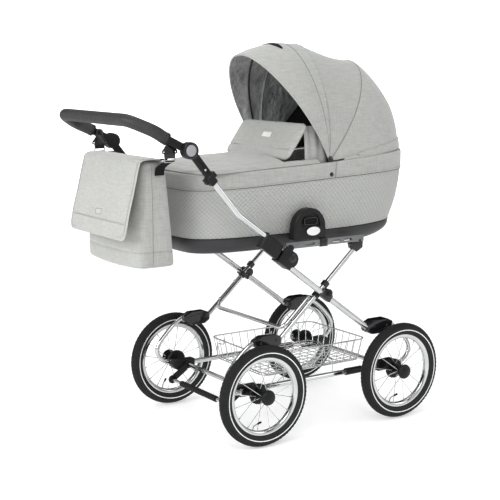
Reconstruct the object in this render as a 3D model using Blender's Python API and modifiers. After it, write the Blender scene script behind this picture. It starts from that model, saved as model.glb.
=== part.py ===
"""A classic pushchair: a folding sprung chassis on four wheels, a lift-off carrycot with a hood, and a bag.

Metres. X points to the hood end, Y to the left side and Z up. The floor is Z = 0.
Every sub-part is drawn from the middle between the axles; the empty "pushchair" then moves
the whole so that its origin lies below the middle of the outer box.
"""
import math

import bmesh
import bpy
from mathutils import Matrix, Vector

# Fits
GAP = 0.0003
RUN = 0.0005
WELD = 0.000001
EDGE_BEVEL = 0.002

# Wheels
TYRE_RADIUS = 0.170
TYRE_SECTION = 0.0215
RIM_OUTER = 0.1285
RIM_INNER = 0.1180
RIM_WIDTH = 0.021
WHEELBASE = 0.583
WHEEL_MIDDLE_Y = 0.2977
HUB_RADIUS = 0.017
HUB_INNER_Y = 0.2625
HUB_OUTER_Y = 0.330
GEAR_RADIUS = 0.034
GEAR_WIDTH = 0.011
HUB_CAP_RADIUS = 0.026
HUB_CAP_DOME = 0.009
SPOKES = 16
SPOKE_RADIUS = 0.0016
AXLE_RADIUS = 0.006
AXLE_END_Y = 0.322

# Scissor chassis, seen from the side
PIVOT_X = 0.0
PIVOT_Z = 0.473
FRONT_LEG_ANGLE = math.radians(36.4)
FRONT_LEG_DROP = 0.0089
FRONT_LEG_LOW = 0.226
FRONT_LEG_HIGH = 0.250
FRONT_LEG_RADIUS = 0.010
FRONT_LEG_Y = 0.249
REAR_LEG_ANGLE = math.radians(41.6)
REAR_LEG_RISE = 0.0135
REAR_LEG_LOW = 0.226
REAR_LEG_HIGH = 0.206
REAR_LEG_RADIUS = 0.008
REAR_LEG_Y = 0.228
STRAP_PIN_X = 0.150
STRAP_PIN_Z = 0.640
PIN_RADIUS = 0.004
SPRING_BOLT_X = 0.331
SPRING_BOLT_Z = 0.172

# C-springs and their saddles
SPRING_RADIUS = 0.0075
SPRING_Y = 0.230
SPRING_TOP_X = 0.214
SPRING_TOP_Z = 0.340
SPRING_BACK_X = 0.392
SPRING_EYE_RADIUS = 0.0125
SPRING_TAIL = 0.004
SPRING_SHAPE = (
    (0.0, 1.0), (0.253, 1.006), (0.483, 0.923), (0.663, 0.786), (0.809, 0.637), (0.933, 0.488),
    (1.0, 0.345), (0.978, 0.208), (0.899, 0.101), (0.775, 0.027),
)
BOLT_RADIUS = 0.005
SADDLE_X = 0.235
SADDLE_Z = 0.329
SADDLE_LENGTH = 0.118
SADDLE_HEIGHT = 0.050

# Lower frame
AXLE_TUBE_RADIUS = 0.008
BRACKET_INNER_Y = 0.190
BRACKET_OUTER_Y = 0.2215
BRACKET_HEIGHT = 0.034
RAIL_Y = 0.2110
OUTER_RAIL_RADIUS = 0.009
OUTER_RAIL_BORE = 0.0068
INNER_RAIL_RADIUS = 0.006
RAIL_REAR_X = -0.2600
OUTER_RAIL_END_X = 0.150
SLEEVE_START_X = 0.116
SLEEVE_END_X = 0.188
SLEEVE_RADIUS = 0.0125
INNER_RAIL_REAR_X = -0.040
BAIL_RADIUS = 0.007
BAIL_Y = 0.2105
BAIL_CROSS_X = -0.155
BAIL_CROSS_Z = 0.362
BAIL_TOP_X = -0.045

# Brake
BRAKE_BAR_X = -0.359
BRAKE_BAR_Z = 0.125
BRAKE_BAR_RADIUS = 0.006
BRAKE_ARM_Y = 0.182
BRAKE_ARM_WIDTH = 0.008
BRAKE_SLEEVE_RADIUS = 0.0105
BRAKE_SLEEVE_HALF = 0.115

# Straps that carry the cot
STRAP_Z = 0.648
STRAP_HEIGHT = 0.022
STRAP_THICKNESS = 0.004
FRONT_STRAP_Y = 0.2395
REAR_STRAP_Y = 0.2445
FRONT_STRAP_REAR_X = -0.125
FRONT_STRAP_END_X = 0.166
REAR_STRAP_FRONT_X = 0.004
REAR_STRAP_END_X = -0.166
GUIDE_LENGTH = 0.030
GUIDE_LIP = 0.002

# Fold joint of the handle
FOLD_X = -0.1616
FOLD_Z = 0.6111
HOUSING_RADIUS = 0.027
HOUSING_DROP = 0.005
HOUSING_INNER_Y = 0.2475
HOUSING_OUTER_Y = 0.276
HOUSING_LENGTH = 0.045
SLOT_BACK = 0.018
COLLAR_START = 0.198
KNUCKLE_RADIUS = 0.0135
HANDLE_Y = 0.2615
HANDLE_RADIUS = 0.010
HANDLE_RISE = 0.021
HANDLE_BEND_X = -0.366
HANDLE_TOP_X = -0.470
HANDLE_TOP_Z = 0.891
HANDLE_BEND_RADIUS = 0.09
LOCK_DISTANCE = 0.3035
LOCK_LENGTH = 0.086
LOCK_HEIGHT = 0.052
LOCK_MIDDLE = 0.006
LOCK_WIDTH = 0.028

# Handle arms and grip
HINGE_X = -0.544
HINGE_Z = 0.982
COLLAR_WIDTH = 0.027
COLLAR_NOSE = 0.014
COLLAR_BEVEL = 0.004
SOCKET_DEPTH = 0.022
TAB_START = 0.012
TAB_END = 0.006
TAB_REACH = 0.009
TAB_HALF_WIDTH = 0.008
SHANK_START = 0.014
SHANK_HALF_HEIGHT = 0.013
SHANK_INNER = 0.0015
SHANK_SLOT_START = 0.034
SHANK_SLOT_END = 0.024
SHANK_SLOT_HALF = 0.004
SHANK_SLOT_DEPTH = 0.003
ARM_DISC_RADIUS = 0.027
LOWER_DISC_INNER_Y = 0.2600
LOWER_DISC_OUTER_Y = 0.2720
UPPER_ARM_INNER_Y = 0.2455
UPPER_ARM_OUTER_Y = 0.2595
BUTTON_RADIUS = 0.018
BUTTON_TRAVEL = 0.003
BUTTON_OUTER_Y = 0.2755
GRIP_SLOPE = math.atan(0.50)
GRIP_START = 0.084
GRIP_CORNER = 0.145
GRIP_BAR = 0.216
GRIP_START_Y = 0.2525
GRIP_WIDE_Y = 0.272
GRIP_BAR_Y = 0.225
GRIP_RADIUS = 0.018
GRIP_BEND = 0.050
STUD_DISTANCE = 0.064
STUD_RADIUS = 0.005
STUD_INNER_Y = 0.2315

# Basket
BASKET_REAR_X = -0.205
BASKET_FRONT_X = 0.245
BASKET_HALF_WIDTH = 0.168
BASKET_TOP_Z = 0.265
BASKET_FLOOR_Z = 0.188
BASKET_TAPER = 0.014
BASKET_WIRE = 0.0036
HOOK_X = (-0.150, 0.060)

# Carrycot
COT_FOOT_X = -0.475
COT_HEAD_X = 0.433
COT_HALF_WIDTH = 0.211
COT_BASE_FOOT_X = -0.474
COT_BASE_HEAD_X = 0.386
COT_BASE_HALF_WIDTH = 0.193
COT_FLOOR_FOOT_X = -0.448
COT_FLOOR_HEAD_X = 0.300
COT_FLOOR_HALF_WIDTH = 0.158
COT_FLOOR_Z = 0.629
COT_SEAM_Z = 0.680
COT_RIM_FOOT_Z = 0.892
COT_RIM_MIDDLE_Z = 0.909
COT_RIM_HEAD_Z = 0.940
COT_WALL = 0.008
BASE_WALL = 0.004
COT_SQUARENESS = 4.2
COT_POINTS = 32
MATTRESS_HEIGHT = 0.045
BRACKET_REAR_X = -0.130
BRACKET_FRONT_X = 0.000
COT_BRACKET_TOP_Z = 0.768
COT_BRACKET_OUTER_Y = 0.2470
BRACKET_SEAT_INSET = 0.015
BRACKET_SEAT_DEPTH = 0.004
BADGE_SHIFT = 0.010
BADGE_RISE = 0.0282
BADGE_HALF_LENGTH = 0.030
BADGE_HALF_HEIGHT = 0.016
BADGE_SINK = 0.002

# Apron over the foot end and its upright flap
APRON_FOOT_X = -0.466
APRON_HEAD_X = -0.130
APRON_HALF_WIDTH = 0.205
APRON_EDGE = 0.020
APRON_CROWN = 0.030
APRON_CHANNELS = 4
FLAP_LOW_X = -0.1195
FLAP_LOW_Z = 0.9224
FLAP_TOP_X = -0.035
FLAP_TOP_Z = 1.040
FLAP_HALF_WIDTH = 0.186
FLAP_THICKNESS = 0.014

# Hood
HOOD_X = 0.045
HOOD_Z = 0.918
HOOD_HALF_WIDTH = 0.205
HOOD_REAR_RADIUS = 0.408
HOOD_STEP = 0.0052
HOOD_MIDDLE_RADIUS = 0.392
HOOD_CLOTH = 0.003
HOOD_POWER = 2.15
HOOD_HEM = math.radians(4.9)
HOOD_SEAM_TWO = math.radians(50)
HOOD_SEAM_ONE = math.radians(92)
HOOD_EDGE = math.radians(123)
HOOD_LAP = math.radians(1.5)
HOOD_CORNER = 0.068
HOOD_CORNER_DEPTH = 0.001
HOOD_HUB_RADIUS = 0.012

# Bag
BAG_TOP_Z = 0.940
BAG_LOW_Z = 0.615
BAG_TOP_DEPTH = 0.090
BAG_TOP_FRONT_X = -0.578
BAG_LOW_REAR_X = -0.685
BAG_LOW_FRONT_X = -0.548
BAG_HALF_WIDTH = 0.173
BAG_CLIP_DROP = 0.055
BAG_CLIP_SINK = 0.020
BAG_CLIP_RADIUS = 0.006
BAG_FLAP_HALF_WIDTH = 0.192
BAG_FLAP_THICKNESS = 0.005
BAG_FLAP_START_X = -0.630
BAG_FLAP_LOW_X = -0.735
BAG_FLAP_LOW_Z = 0.708

AXLE_X = WHEELBASE / 2
AXLE_Z = TYRE_RADIUS
GRIP_END_X = HINGE_X - GRIP_BAR * math.cos(GRIP_SLOPE) - GRIP_RADIUS
MIDDLE_X = (AXLE_X + TYRE_RADIUS + GRIP_END_X) / 2
SIDES = {"left": 1, "right": -1}
ENDS = {"front": 1, "rear": -1}


# Scene, materials and tools

def clear_scene():
    for obj in list(bpy.data.objects):
        bpy.data.objects.remove(obj)
    for collection in list(bpy.data.collections):
        bpy.data.collections.remove(collection)


def new_collection(name):
    collection = bpy.data.collections.new(name)
    bpy.context.scene.collection.children.link(collection)
    return collection


def material(name, colour, roughness, metallic):
    made = bpy.data.materials.new(name)
    made.use_nodes = True
    shader = made.node_tree.nodes["Principled BSDF"]
    shader.inputs["Base Color"].default_value = (*colour, 1)
    shader.inputs["Roughness"].default_value = roughness
    shader.inputs["Metallic"].default_value = metallic
    return made


def from_bmesh(bm):
    mesh = bpy.data.meshes.new("shape")
    bm.to_mesh(mesh)
    bm.free()
    obj = bpy.data.objects.new("shape", mesh)
    HELPERS.objects.link(obj)
    return obj


def bake(obj, weld=0.0):
    """The object with its modifiers, or its curve, turned into one mesh; weld closes a curve's loose caps."""
    bpy.context.view_layer.update()
    graph = bpy.context.evaluated_depsgraph_get()
    mesh = bpy.data.meshes.new_from_object(obj.evaluated_get(graph))
    bm = bmesh.new()
    bm.from_mesh(mesh)
    bm.transform(obj.matrix_world)
    if weld:
        bmesh.ops.remove_doubles(bm, verts=bm.verts, dist=weld)
    bpy.data.objects.remove(obj)
    bpy.data.meshes.remove(mesh)
    return from_bmesh(bm)


def combine(operation, base, others, solver="EXACT"):
    for other in others:
        modifier = base.modifiers.new(operation, "BOOLEAN")
        modifier.operation = operation
        modifier.object = other
        modifier.solver = solver
    made = bake(base)
    for other in others:
        bpy.data.objects.remove(other)
    return made


def union(*shapes):
    return combine("UNION", shapes[0], shapes[1:])


def cut(base, *cutters):
    return combine("DIFFERENCE", base, cutters)


def box(x0, x1, y0, y1, z0, z1, turn=0.0, about=None):
    """A box between two corners; turn tips it about Y, nose up for a positive angle, about a point (x, z)."""
    bm = bmesh.new()
    bmesh.ops.create_cube(bm, size=1)
    size = Vector((abs(x1 - x0), abs(y1 - y0), abs(z1 - z0)))
    middle = Vector(((x0 + x1) / 2, (y0 + y1) / 2, (z0 + z1) / 2))
    bmesh.ops.scale(bm, vec=size, verts=bm.verts)
    bmesh.ops.translate(bm, vec=middle, verts=bm.verts)
    if turn:
        centre = Vector((about[0], 0, about[1]))
        bmesh.ops.rotate(bm, cent=centre, matrix=Matrix.Rotation(-turn, 3, "Y"), verts=bm.verts)
    return from_bmesh(bm)


def rod(start, end, radius, sides=12, end_radius=None):
    """A straight round bar, or a cone, between two points."""
    start, end = Vector(start), Vector(end)
    along = end - start
    bm = bmesh.new()
    bmesh.ops.create_cone(
        bm, cap_ends=True, segments=sides, radius1=radius,
        radius2=radius if end_radius is None else end_radius, depth=along.length,
    )
    turn = along.to_track_quat("Z", "Y").to_matrix()
    bmesh.ops.rotate(bm, cent=(0, 0, 0), matrix=turn, verts=bm.verts)
    bmesh.ops.translate(bm, vec=(start + end) / 2, verts=bm.verts)
    return from_bmesh(bm)


def pin(x, z, y0, y1, radius, sides=12):
    return rod((x, y0, z), (x, y1, z), radius, sides)


def rounded(points, radius, steps=4):
    """The polyline with each inner corner replaced by an arc of about the given radius."""
    points = [Vector(p) for p in points]
    path = [points[0]]
    for before, corner, after in zip(points, points[1:], points[2:]):
        a = (before - corner).normalized()
        b = (after - corner).normalized()
        half = a.angle(b) / 2
        reach = min(radius / math.tan(half), (before - corner).length * 0.49, (after - corner).length * 0.49)
        start, end = corner + a * reach, corner + b * reach
        for i in range(steps + 1):
            t = i / steps
            path.append(start * (1 - t) ** 2 + corner * 2 * t * (1 - t) + end * t ** 2)
    path.append(points[-1])
    return path


def pipe(points, radius, resolution=2):
    """A tube or wire along the points: a POLY curve with a round bevel and filled caps, made a mesh."""
    curve = bpy.data.curves.new("path", "CURVE")
    curve.dimensions = "3D"
    curve.bevel_depth = radius
    curve.bevel_resolution = resolution
    curve.use_fill_caps = True
    spline = curve.splines.new("POLY")
    spline.points.add(len(points) - 1)
    for point, place in zip(spline.points, points):
        point.co = (*place, 1)
    obj = bpy.data.objects.new("path", curve)
    HELPERS.objects.link(obj)
    return bake(obj, WELD)


def turned(profile, x, z, side, steps=24):
    """A turned piece about a Y axis; the profile is (radius, |y|), from the outer end inwards."""
    bm = bmesh.new()
    verts = [bm.verts.new((radius, 0, y)) for radius, y in profile]
    for a, b in zip(verts, verts[1:]):
        bm.edges.new((a, b))
    obj = from_bmesh(bm)
    screw = obj.modifiers.new("Screw", "SCREW")
    screw.steps = steps
    screw.render_steps = steps
    screw.use_merge_vertices = True
    screw.merge_threshold = 0.00001
    made = bake(obj, WELD)
    turn = Matrix.Rotation(math.radians(-90 * side), 4, "X")
    made.data.transform(Matrix.Translation((x, 0, z)) @ turn)
    return outward(made)


def outward(obj):
    bm = bmesh.new()
    bm.from_mesh(obj.data)
    bmesh.ops.recalc_face_normals(bm, faces=bm.faces)
    if bm.calc_volume(signed=True) < 0:
        bmesh.ops.reverse_faces(bm, faces=bm.faces)
    bm.to_mesh(obj.data)
    bm.free()
    return obj


def plate(outline, y0, y1):
    """A flat outline of (x, z) points, extruded along Y."""
    curve = bpy.data.curves.new("outline", "CURVE")
    curve.dimensions = "2D"
    curve.fill_mode = "BOTH"
    curve.extrude = abs(y1 - y0) / 2
    spline = curve.splines.new("POLY")
    spline.points.add(len(outline) - 1)
    for point, (x, z) in zip(spline.points, outline):
        point.co = (x, z, 0, 1)
    spline.use_cyclic_u = True
    obj = bpy.data.objects.new("outline", curve)
    HELPERS.objects.link(obj)
    obj.matrix_world = Matrix.Translation((0, (y0 + y1) / 2, 0)) @ Matrix.Rotation(math.radians(90), 4, "X")
    return outward(bake(obj, WELD))


def arc(x, z, radius, start, end, steps=6):
    """Points (x, z) on an arc, angles in degrees, 0 along +X and 90 up."""
    angles = [math.radians(start + (end - start) * i / steps) for i in range(steps + 1)]
    return [(x + radius * math.cos(a), z + radius * math.sin(a)) for a in angles]


def bevelled(obj, width, segments=2, angle=40):
    bevel = obj.modifiers.new("Bevel", "BEVEL")
    bevel.width = width
    bevel.segments = segments
    bevel.limit_method = "ANGLE"
    bevel.angle_limit = math.radians(angle)
    return bake(obj)


def surface(rows, closed):
    """A loft: quads between rows of points, each row closed into a ring if asked."""
    bm = bmesh.new()
    rings = [[bm.verts.new(p) for p in row] for row in rows]
    count = len(rows[0])
    for low, high in zip(rings, rings[1:]):
        for i in range(count if closed else count - 1):
            j = (i + 1) % count
            bm.faces.new((low[i], low[j], high[j], high[i]))
    return bm


def body(name, x=0.0, y=0.0, z=0.0):
    """An empty on a joint's axis, which carries the pieces that move with it."""
    empty = bpy.data.objects.new(name if name == "pushchair" else f"{name}_axis", None)
    empty.empty_display_size = 0.03
    PARTS.objects.link(empty)
    empty.location = (x, y, z)
    if name != "pushchair":
        empty.parent = BODIES["pushchair"]
    BODIES[name] = empty
    return empty


def part(shape, name, body_name, finish):
    """Names a finished shape, gives it its material and hangs it on its body."""
    shape.name = name
    shape.data.name = name
    shape.data.materials.clear()
    shape.data.materials.append(MATERIALS[finish].copy())
    shape.data.materials[0].name = name
    shape.data.shade_smooth()
    shape.data.set_sharp_from_angle(angle=math.radians(35))
    holder = BODIES[body_name]
    HELPERS.objects.unlink(shape)
    PARTS.objects.link(shape)
    if body_name != "pushchair":
        shape.data.transform(Matrix.Translation(-holder.location))
    shape.parent = holder
    return shape


def front_leg(s, n):
    """A point (x, z) s up the front leg from the scissor pivot and n above the pivot's line."""
    c, w = math.cos(FRONT_LEG_ANGLE), math.sin(FRONT_LEG_ANGLE)
    return PIVOT_X - s * c + n * w, PIVOT_Z + s * w + n * c


def leg_place(x, z):
    """The (s, n) of a point, the reverse of front_leg."""
    c, w = math.cos(FRONT_LEG_ANGLE), math.sin(FRONT_LEG_ANGLE)
    dx, dz = x - PIVOT_X, z - PIVOT_Z
    return dz * w - dx * c, dx * w + dz * c


def rear_leg(s, n):
    c, w = math.cos(REAR_LEG_ANGLE), math.sin(REAR_LEG_ANGLE)
    return PIVOT_X + s * c - n * w, PIVOT_Z + s * w + n * c


def leg_box(s0, s1, n0, n1, y0, y1):
    """A box lying along the front leg."""
    return box(PIVOT_X - s1, PIVOT_X - s0, y0, y1, PIVOT_Z + n0, PIVOT_Z + n1, -FRONT_LEG_ANGLE, (PIVOT_X, PIVOT_Z))


def bar(a, b, y, radius, sides=12):
    return rod((a[0], y, a[1]), (b[0], y, b[1]), radius, sides)


# Wheels

def wheel(end, side_name):
    side = SIDES[side_name]
    x = ENDS[end] * AXLE_X
    name = f"{end}_{side_name}"
    centre = TYRE_RADIUS - TYRE_SECTION
    bead = RIM_OUTER + GAP
    edge = math.asin((centre - bead) / TYRE_SECTION)
    ring = []
    turns = 8
    for i in range(turns + 1):
        a = -edge + (math.pi + 2 * edge) * i / turns
        ring.append((centre + TYRE_SECTION * math.sin(a), WHEEL_MIDDLE_Y + TYRE_SECTION * math.cos(a)))
    tyre = turned(ring + ring[:1], x, AXLE_Z, side, steps=24)
    part(tyre, f"tyre_{name}", f"wheel_{name}", "tyre")

    half = RIM_WIDTH / 2
    rim_profile = [
        (RIM_OUTER, WHEEL_MIDDLE_Y + half), (RIM_OUTER, WHEEL_MIDDLE_Y - half),
        (RIM_INNER, WHEEL_MIDDLE_Y - half / 2), (RIM_INNER, WHEEL_MIDDLE_Y + half / 2),
        (RIM_OUTER, WHEEL_MIDDLE_Y + half),
    ]
    rim = turned(rim_profile, x, AXLE_Z, side, steps=24)
    bore = AXLE_RADIUS + RUN
    gear_end = HUB_INNER_Y + GEAR_WIDTH
    hub_profile = [
        (0, HUB_OUTER_Y + HUB_CAP_DOME), (HUB_CAP_RADIUS * 0.6, HUB_OUTER_Y + HUB_CAP_DOME * 0.7),
        (HUB_CAP_RADIUS, HUB_OUTER_Y), (HUB_RADIUS, HUB_OUTER_Y - 0.006), (HUB_RADIUS, gear_end),
        (GEAR_RADIUS, gear_end), (GEAR_RADIUS, HUB_INNER_Y),
        (bore, HUB_INNER_Y), (bore, AXLE_END_Y + RUN), (0, AXLE_END_Y + RUN),
    ]
    hub = turned(hub_profile, x, AXLE_Z, side, steps=12)
    spokes = []
    for i in range(SPOKES):
        a = 2 * math.pi * (i + 0.5) / SPOKES
        lean = side * 0.006 * (-1) ** i
        inner = (x + 0.012 * math.cos(a), side * WHEEL_MIDDLE_Y + lean, AXLE_Z + 0.012 * math.sin(a))
        reach = (RIM_INNER + RIM_OUTER) / 2
        outer = (x + reach * math.cos(a), side * WHEEL_MIDDLE_Y, AXLE_Z + reach * math.sin(a))
        spokes.append(rod(inner, outer, SPOKE_RADIUS, 4))
    part(union(rim, hub, *spokes), f"wheel_{name}", f"wheel_{name}", "chrome")


# Lower frame

def axle_frame(end):
    """The cross tube, its two cast brackets, the stub axles and the spring bolts, joined as one weldment."""
    way = ENDS[end]
    x = way * AXLE_X
    bolt_x = way * SPRING_BOLT_X
    shapes = [rod((x, -BRACKET_INNER_Y - 0.01, AXLE_Z), (x, BRACKET_INNER_Y + 0.01, AXLE_Z), AXLE_TUBE_RADIUS)]
    inner_x = -RAIL_REAR_X + GAP
    for side in SIDES.values():
        y0, y1 = side * BRACKET_INNER_Y, side * BRACKET_OUTER_Y
        low, high = AXLE_Z - BRACKET_HEIGHT / 2, AXLE_Z + BRACKET_HEIGHT / 2
        outline = [(inner_x, low), (bolt_x * way, low)]
        outline += arc(bolt_x * way, SPRING_BOLT_Z, BRACKET_HEIGHT / 2, -70, 80, 5)
        outline += [(AXLE_X, high), (inner_x, high)]
        shapes.append(plate([(way * px, pz) for px, pz in outline], y0, y1))
        shapes.append(pin(x, AXLE_Z, side * (BRACKET_OUTER_Y - 0.01), side * AXLE_END_Y, AXLE_RADIUS, 12))
        shoulder = BRACKET_OUTER_Y + 0.036
        shapes.append(pin(x, AXLE_Z, side * (BRACKET_OUTER_Y - 0.008), side * shoulder, AXLE_RADIUS * 1.6, 12))
        bolt_end = SPRING_Y + SPRING_RADIUS + RUN
        shapes.append(pin(bolt_x, SPRING_BOLT_Z, side * (BRACKET_OUTER_Y - 0.009), side * (bolt_end + 0.002),
                          BOLT_RADIUS, 12))
        shapes.append(pin(bolt_x, SPRING_BOLT_Z, side * bolt_end, side * (bolt_end + 0.005),
                          BOLT_RADIUS * 1.7, 6))
    part(union(*shapes), f"{end}_axle_frame", f"{end}_frame" if end == "front" else "pushchair", "black_metal")


def rails(side_name):
    side = SIDES[side_name]
    y = side * RAIL_Y
    tube = rod((RAIL_REAR_X, y, AXLE_Z), (OUTER_RAIL_END_X, y, AXLE_Z), OUTER_RAIL_RADIUS)
    sleeve = rod((SLEEVE_START_X, y, AXLE_Z), (SLEEVE_END_X, y, AXLE_Z), SLEEVE_RADIUS)
    bore = rod((RAIL_REAR_X + 0.01, y, AXLE_Z), (SLEEVE_END_X + 0.01, y, AXLE_Z), OUTER_RAIL_BORE)
    part(cut(union(tube, sleeve), bore), f"outer_rail_{side_name}", "pushchair", "chrome")
    inner = rod((INNER_RAIL_REAR_X, y, AXLE_Z), (-RAIL_REAR_X, y, AXLE_Z), INNER_RAIL_RADIUS)
    part(inner, f"inner_rail_{side_name}", "front_frame", "chrome")


def spring_path(end):
    """From the saddle over the outer bow to the bolt, as (x, z) points on two arcs."""
    way = ENDS[end]
    reach, rise = SPRING_BACK_X - SPRING_TOP_X, SPRING_TOP_Z - SPRING_BOLT_Z
    bow = [(SPRING_TOP_X + reach * a, SPRING_BOLT_Z + rise * b) for a, b in SPRING_SHAPE]
    return [(way * x, z) for x, z in bow + [(SPRING_BOLT_X + SPRING_TAIL, SPRING_BOLT_Z)]]


def c_spring(end, side_name):
    side = SIDES[side_name]
    x, z = ENDS[end] * SPRING_BOLT_X, SPRING_BOLT_Z
    holder = f"{end}_legs"
    y0, y1 = side * (SPRING_Y - SPRING_RADIUS), side * (SPRING_Y + SPRING_RADIUS)
    bow = pipe([(px, side * SPRING_Y, pz) for px, pz in spring_path(end)], SPRING_RADIUS, 1)
    eye = pin(x, z, y0, y1, SPRING_EYE_RADIUS)
    bore = pin(x, z, y0 * 0.99, y1 * 1.01, BOLT_RADIUS + RUN, 12)
    part(cut(union(bow, eye), bore), f"c_spring_{end}_{side_name}", holder, "chrome")

    leg_y = FRONT_LEG_Y if end == "front" else REAR_LEG_Y
    leg_radius = FRONT_LEG_RADIUS if end == "front" else REAR_LEG_RADIUS
    inner = min(SPRING_Y - SPRING_RADIUS, leg_y - leg_radius) - 0.005
    outer = max(SPRING_Y + SPRING_RADIUS, leg_y + leg_radius) + 0.003
    way = ENDS[end]
    low, high = SADDLE_Z - SADDLE_HEIGHT / 2, SADDLE_Z + SADDLE_HEIGHT / 2
    back, nose = SADDLE_X - SADDLE_LENGTH / 2, SADDLE_X + SADDLE_LENGTH / 2
    outline = [(back, low + 0.012), (back + 0.020, low), (nose - 0.042, low), (nose - 0.006, high - 0.034),
               (nose, high - 0.014), (nose - 0.030, high), (back + 0.030, high), (back, high - 0.012)]
    dome = bevelled(plate([(way * px, pz) for px, pz in outline], side * inner, side * outer), 0.005, 1)
    groove = pipe([(px, side * SPRING_Y, pz) for px, pz in spring_path(end)[:-3]], SPRING_RADIUS + GAP, 1)
    leg = leg_tube(end, side, leg_radius + GAP, 0.001)
    part(cut(dome, groove, leg), f"saddle_{end}_{side_name}", holder, "gloss_black")


def leg_tube(end, side, radius, more=0.0):
    if end == "front":
        low = front_leg(-FRONT_LEG_LOW - more, -FRONT_LEG_DROP)
        high = front_leg(FRONT_LEG_HIGH + more, -FRONT_LEG_DROP)
        return bar(low, high, side * FRONT_LEG_Y, radius)
    low = rear_leg(-REAR_LEG_LOW - more, REAR_LEG_RISE)
    high = rear_leg(REAR_LEG_HIGH + more, REAR_LEG_RISE)
    return bar(low, high, side * REAR_LEG_Y, radius)


def rear_leg_frame():
    """Both rear legs and the bail that ties them together below, as one welded frame."""
    boss_inner, boss_outer = REAR_LEG_Y - 0.0085, FRONT_LEG_Y - FRONT_LEG_RADIUS - 0.0015
    shapes, bores = [], []
    slope = math.tan(REAR_LEG_ANGLE)
    top_z = BAIL_CROSS_Z + (BAIL_TOP_X - BAIL_CROSS_X) * slope
    bail = [(BAIL_TOP_X, BAIL_Y, top_z), (BAIL_CROSS_X, BAIL_Y, BAIL_CROSS_Z),
            (BAIL_CROSS_X, -BAIL_Y, BAIL_CROSS_Z), (BAIL_TOP_X, -BAIL_Y, top_z)]
    shapes.append(pipe(rounded(bail, 0.03, 3), BAIL_RADIUS, 1))
    for side in SIDES.values():
        shapes.append(leg_tube("rear", side, REAR_LEG_RADIUS))
        shapes.append(pin(PIVOT_X, PIVOT_Z, side * boss_inner, side * boss_outer, 0.014))
        for share in (0.15, 0.75):
            bx = BAIL_TOP_X + (BAIL_CROSS_X - BAIL_TOP_X) * share
            bz = top_z + (BAIL_CROSS_Z - top_z) * share
            shapes.append(pin(bx, bz, side * (BAIL_Y - BAIL_RADIUS - 0.002), side * (REAR_LEG_Y + 0.004), 0.0045, 8))
        bores.append(pin(PIVOT_X, PIVOT_Z, side * (boss_inner + 0.003), side * (boss_outer + 0.01),
                         PIN_RADIUS + RUN, 12))
    part(cut(union(*shapes), *bores), "rear_leg_frame", "rear_legs", "chrome")


def corner_block(side_name):
    side = SIDES[side_name]
    x, z = STRAP_PIN_X, STRAP_PIN_Z
    inner, outer = REAR_LEG_Y - 0.0145, REAR_LEG_Y + 0.009
    outline = [(x - 0.030, z - 0.026), (x - 0.010, z - 0.040), (x + 0.016, z - 0.026)]
    outline += arc(x + 0.004, z, 0.014, -20, 100, 4) + [(x - 0.016, z + 0.012), (x - 0.034, z - 0.010)]
    block = bevelled(plate(outline, side * inner, side * outer), 0.002, 1)
    socket = leg_tube("rear", side, REAR_LEG_RADIUS + GAP, GAP)
    stud = pin(x, z, side * (outer - 0.002), side * (FRONT_STRAP_Y + 0.0035), PIN_RADIUS, 12)
    part(union(cut(block, socket), stud), f"corner_block_{side_name}", "rear_legs", "gloss_black")


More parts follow.
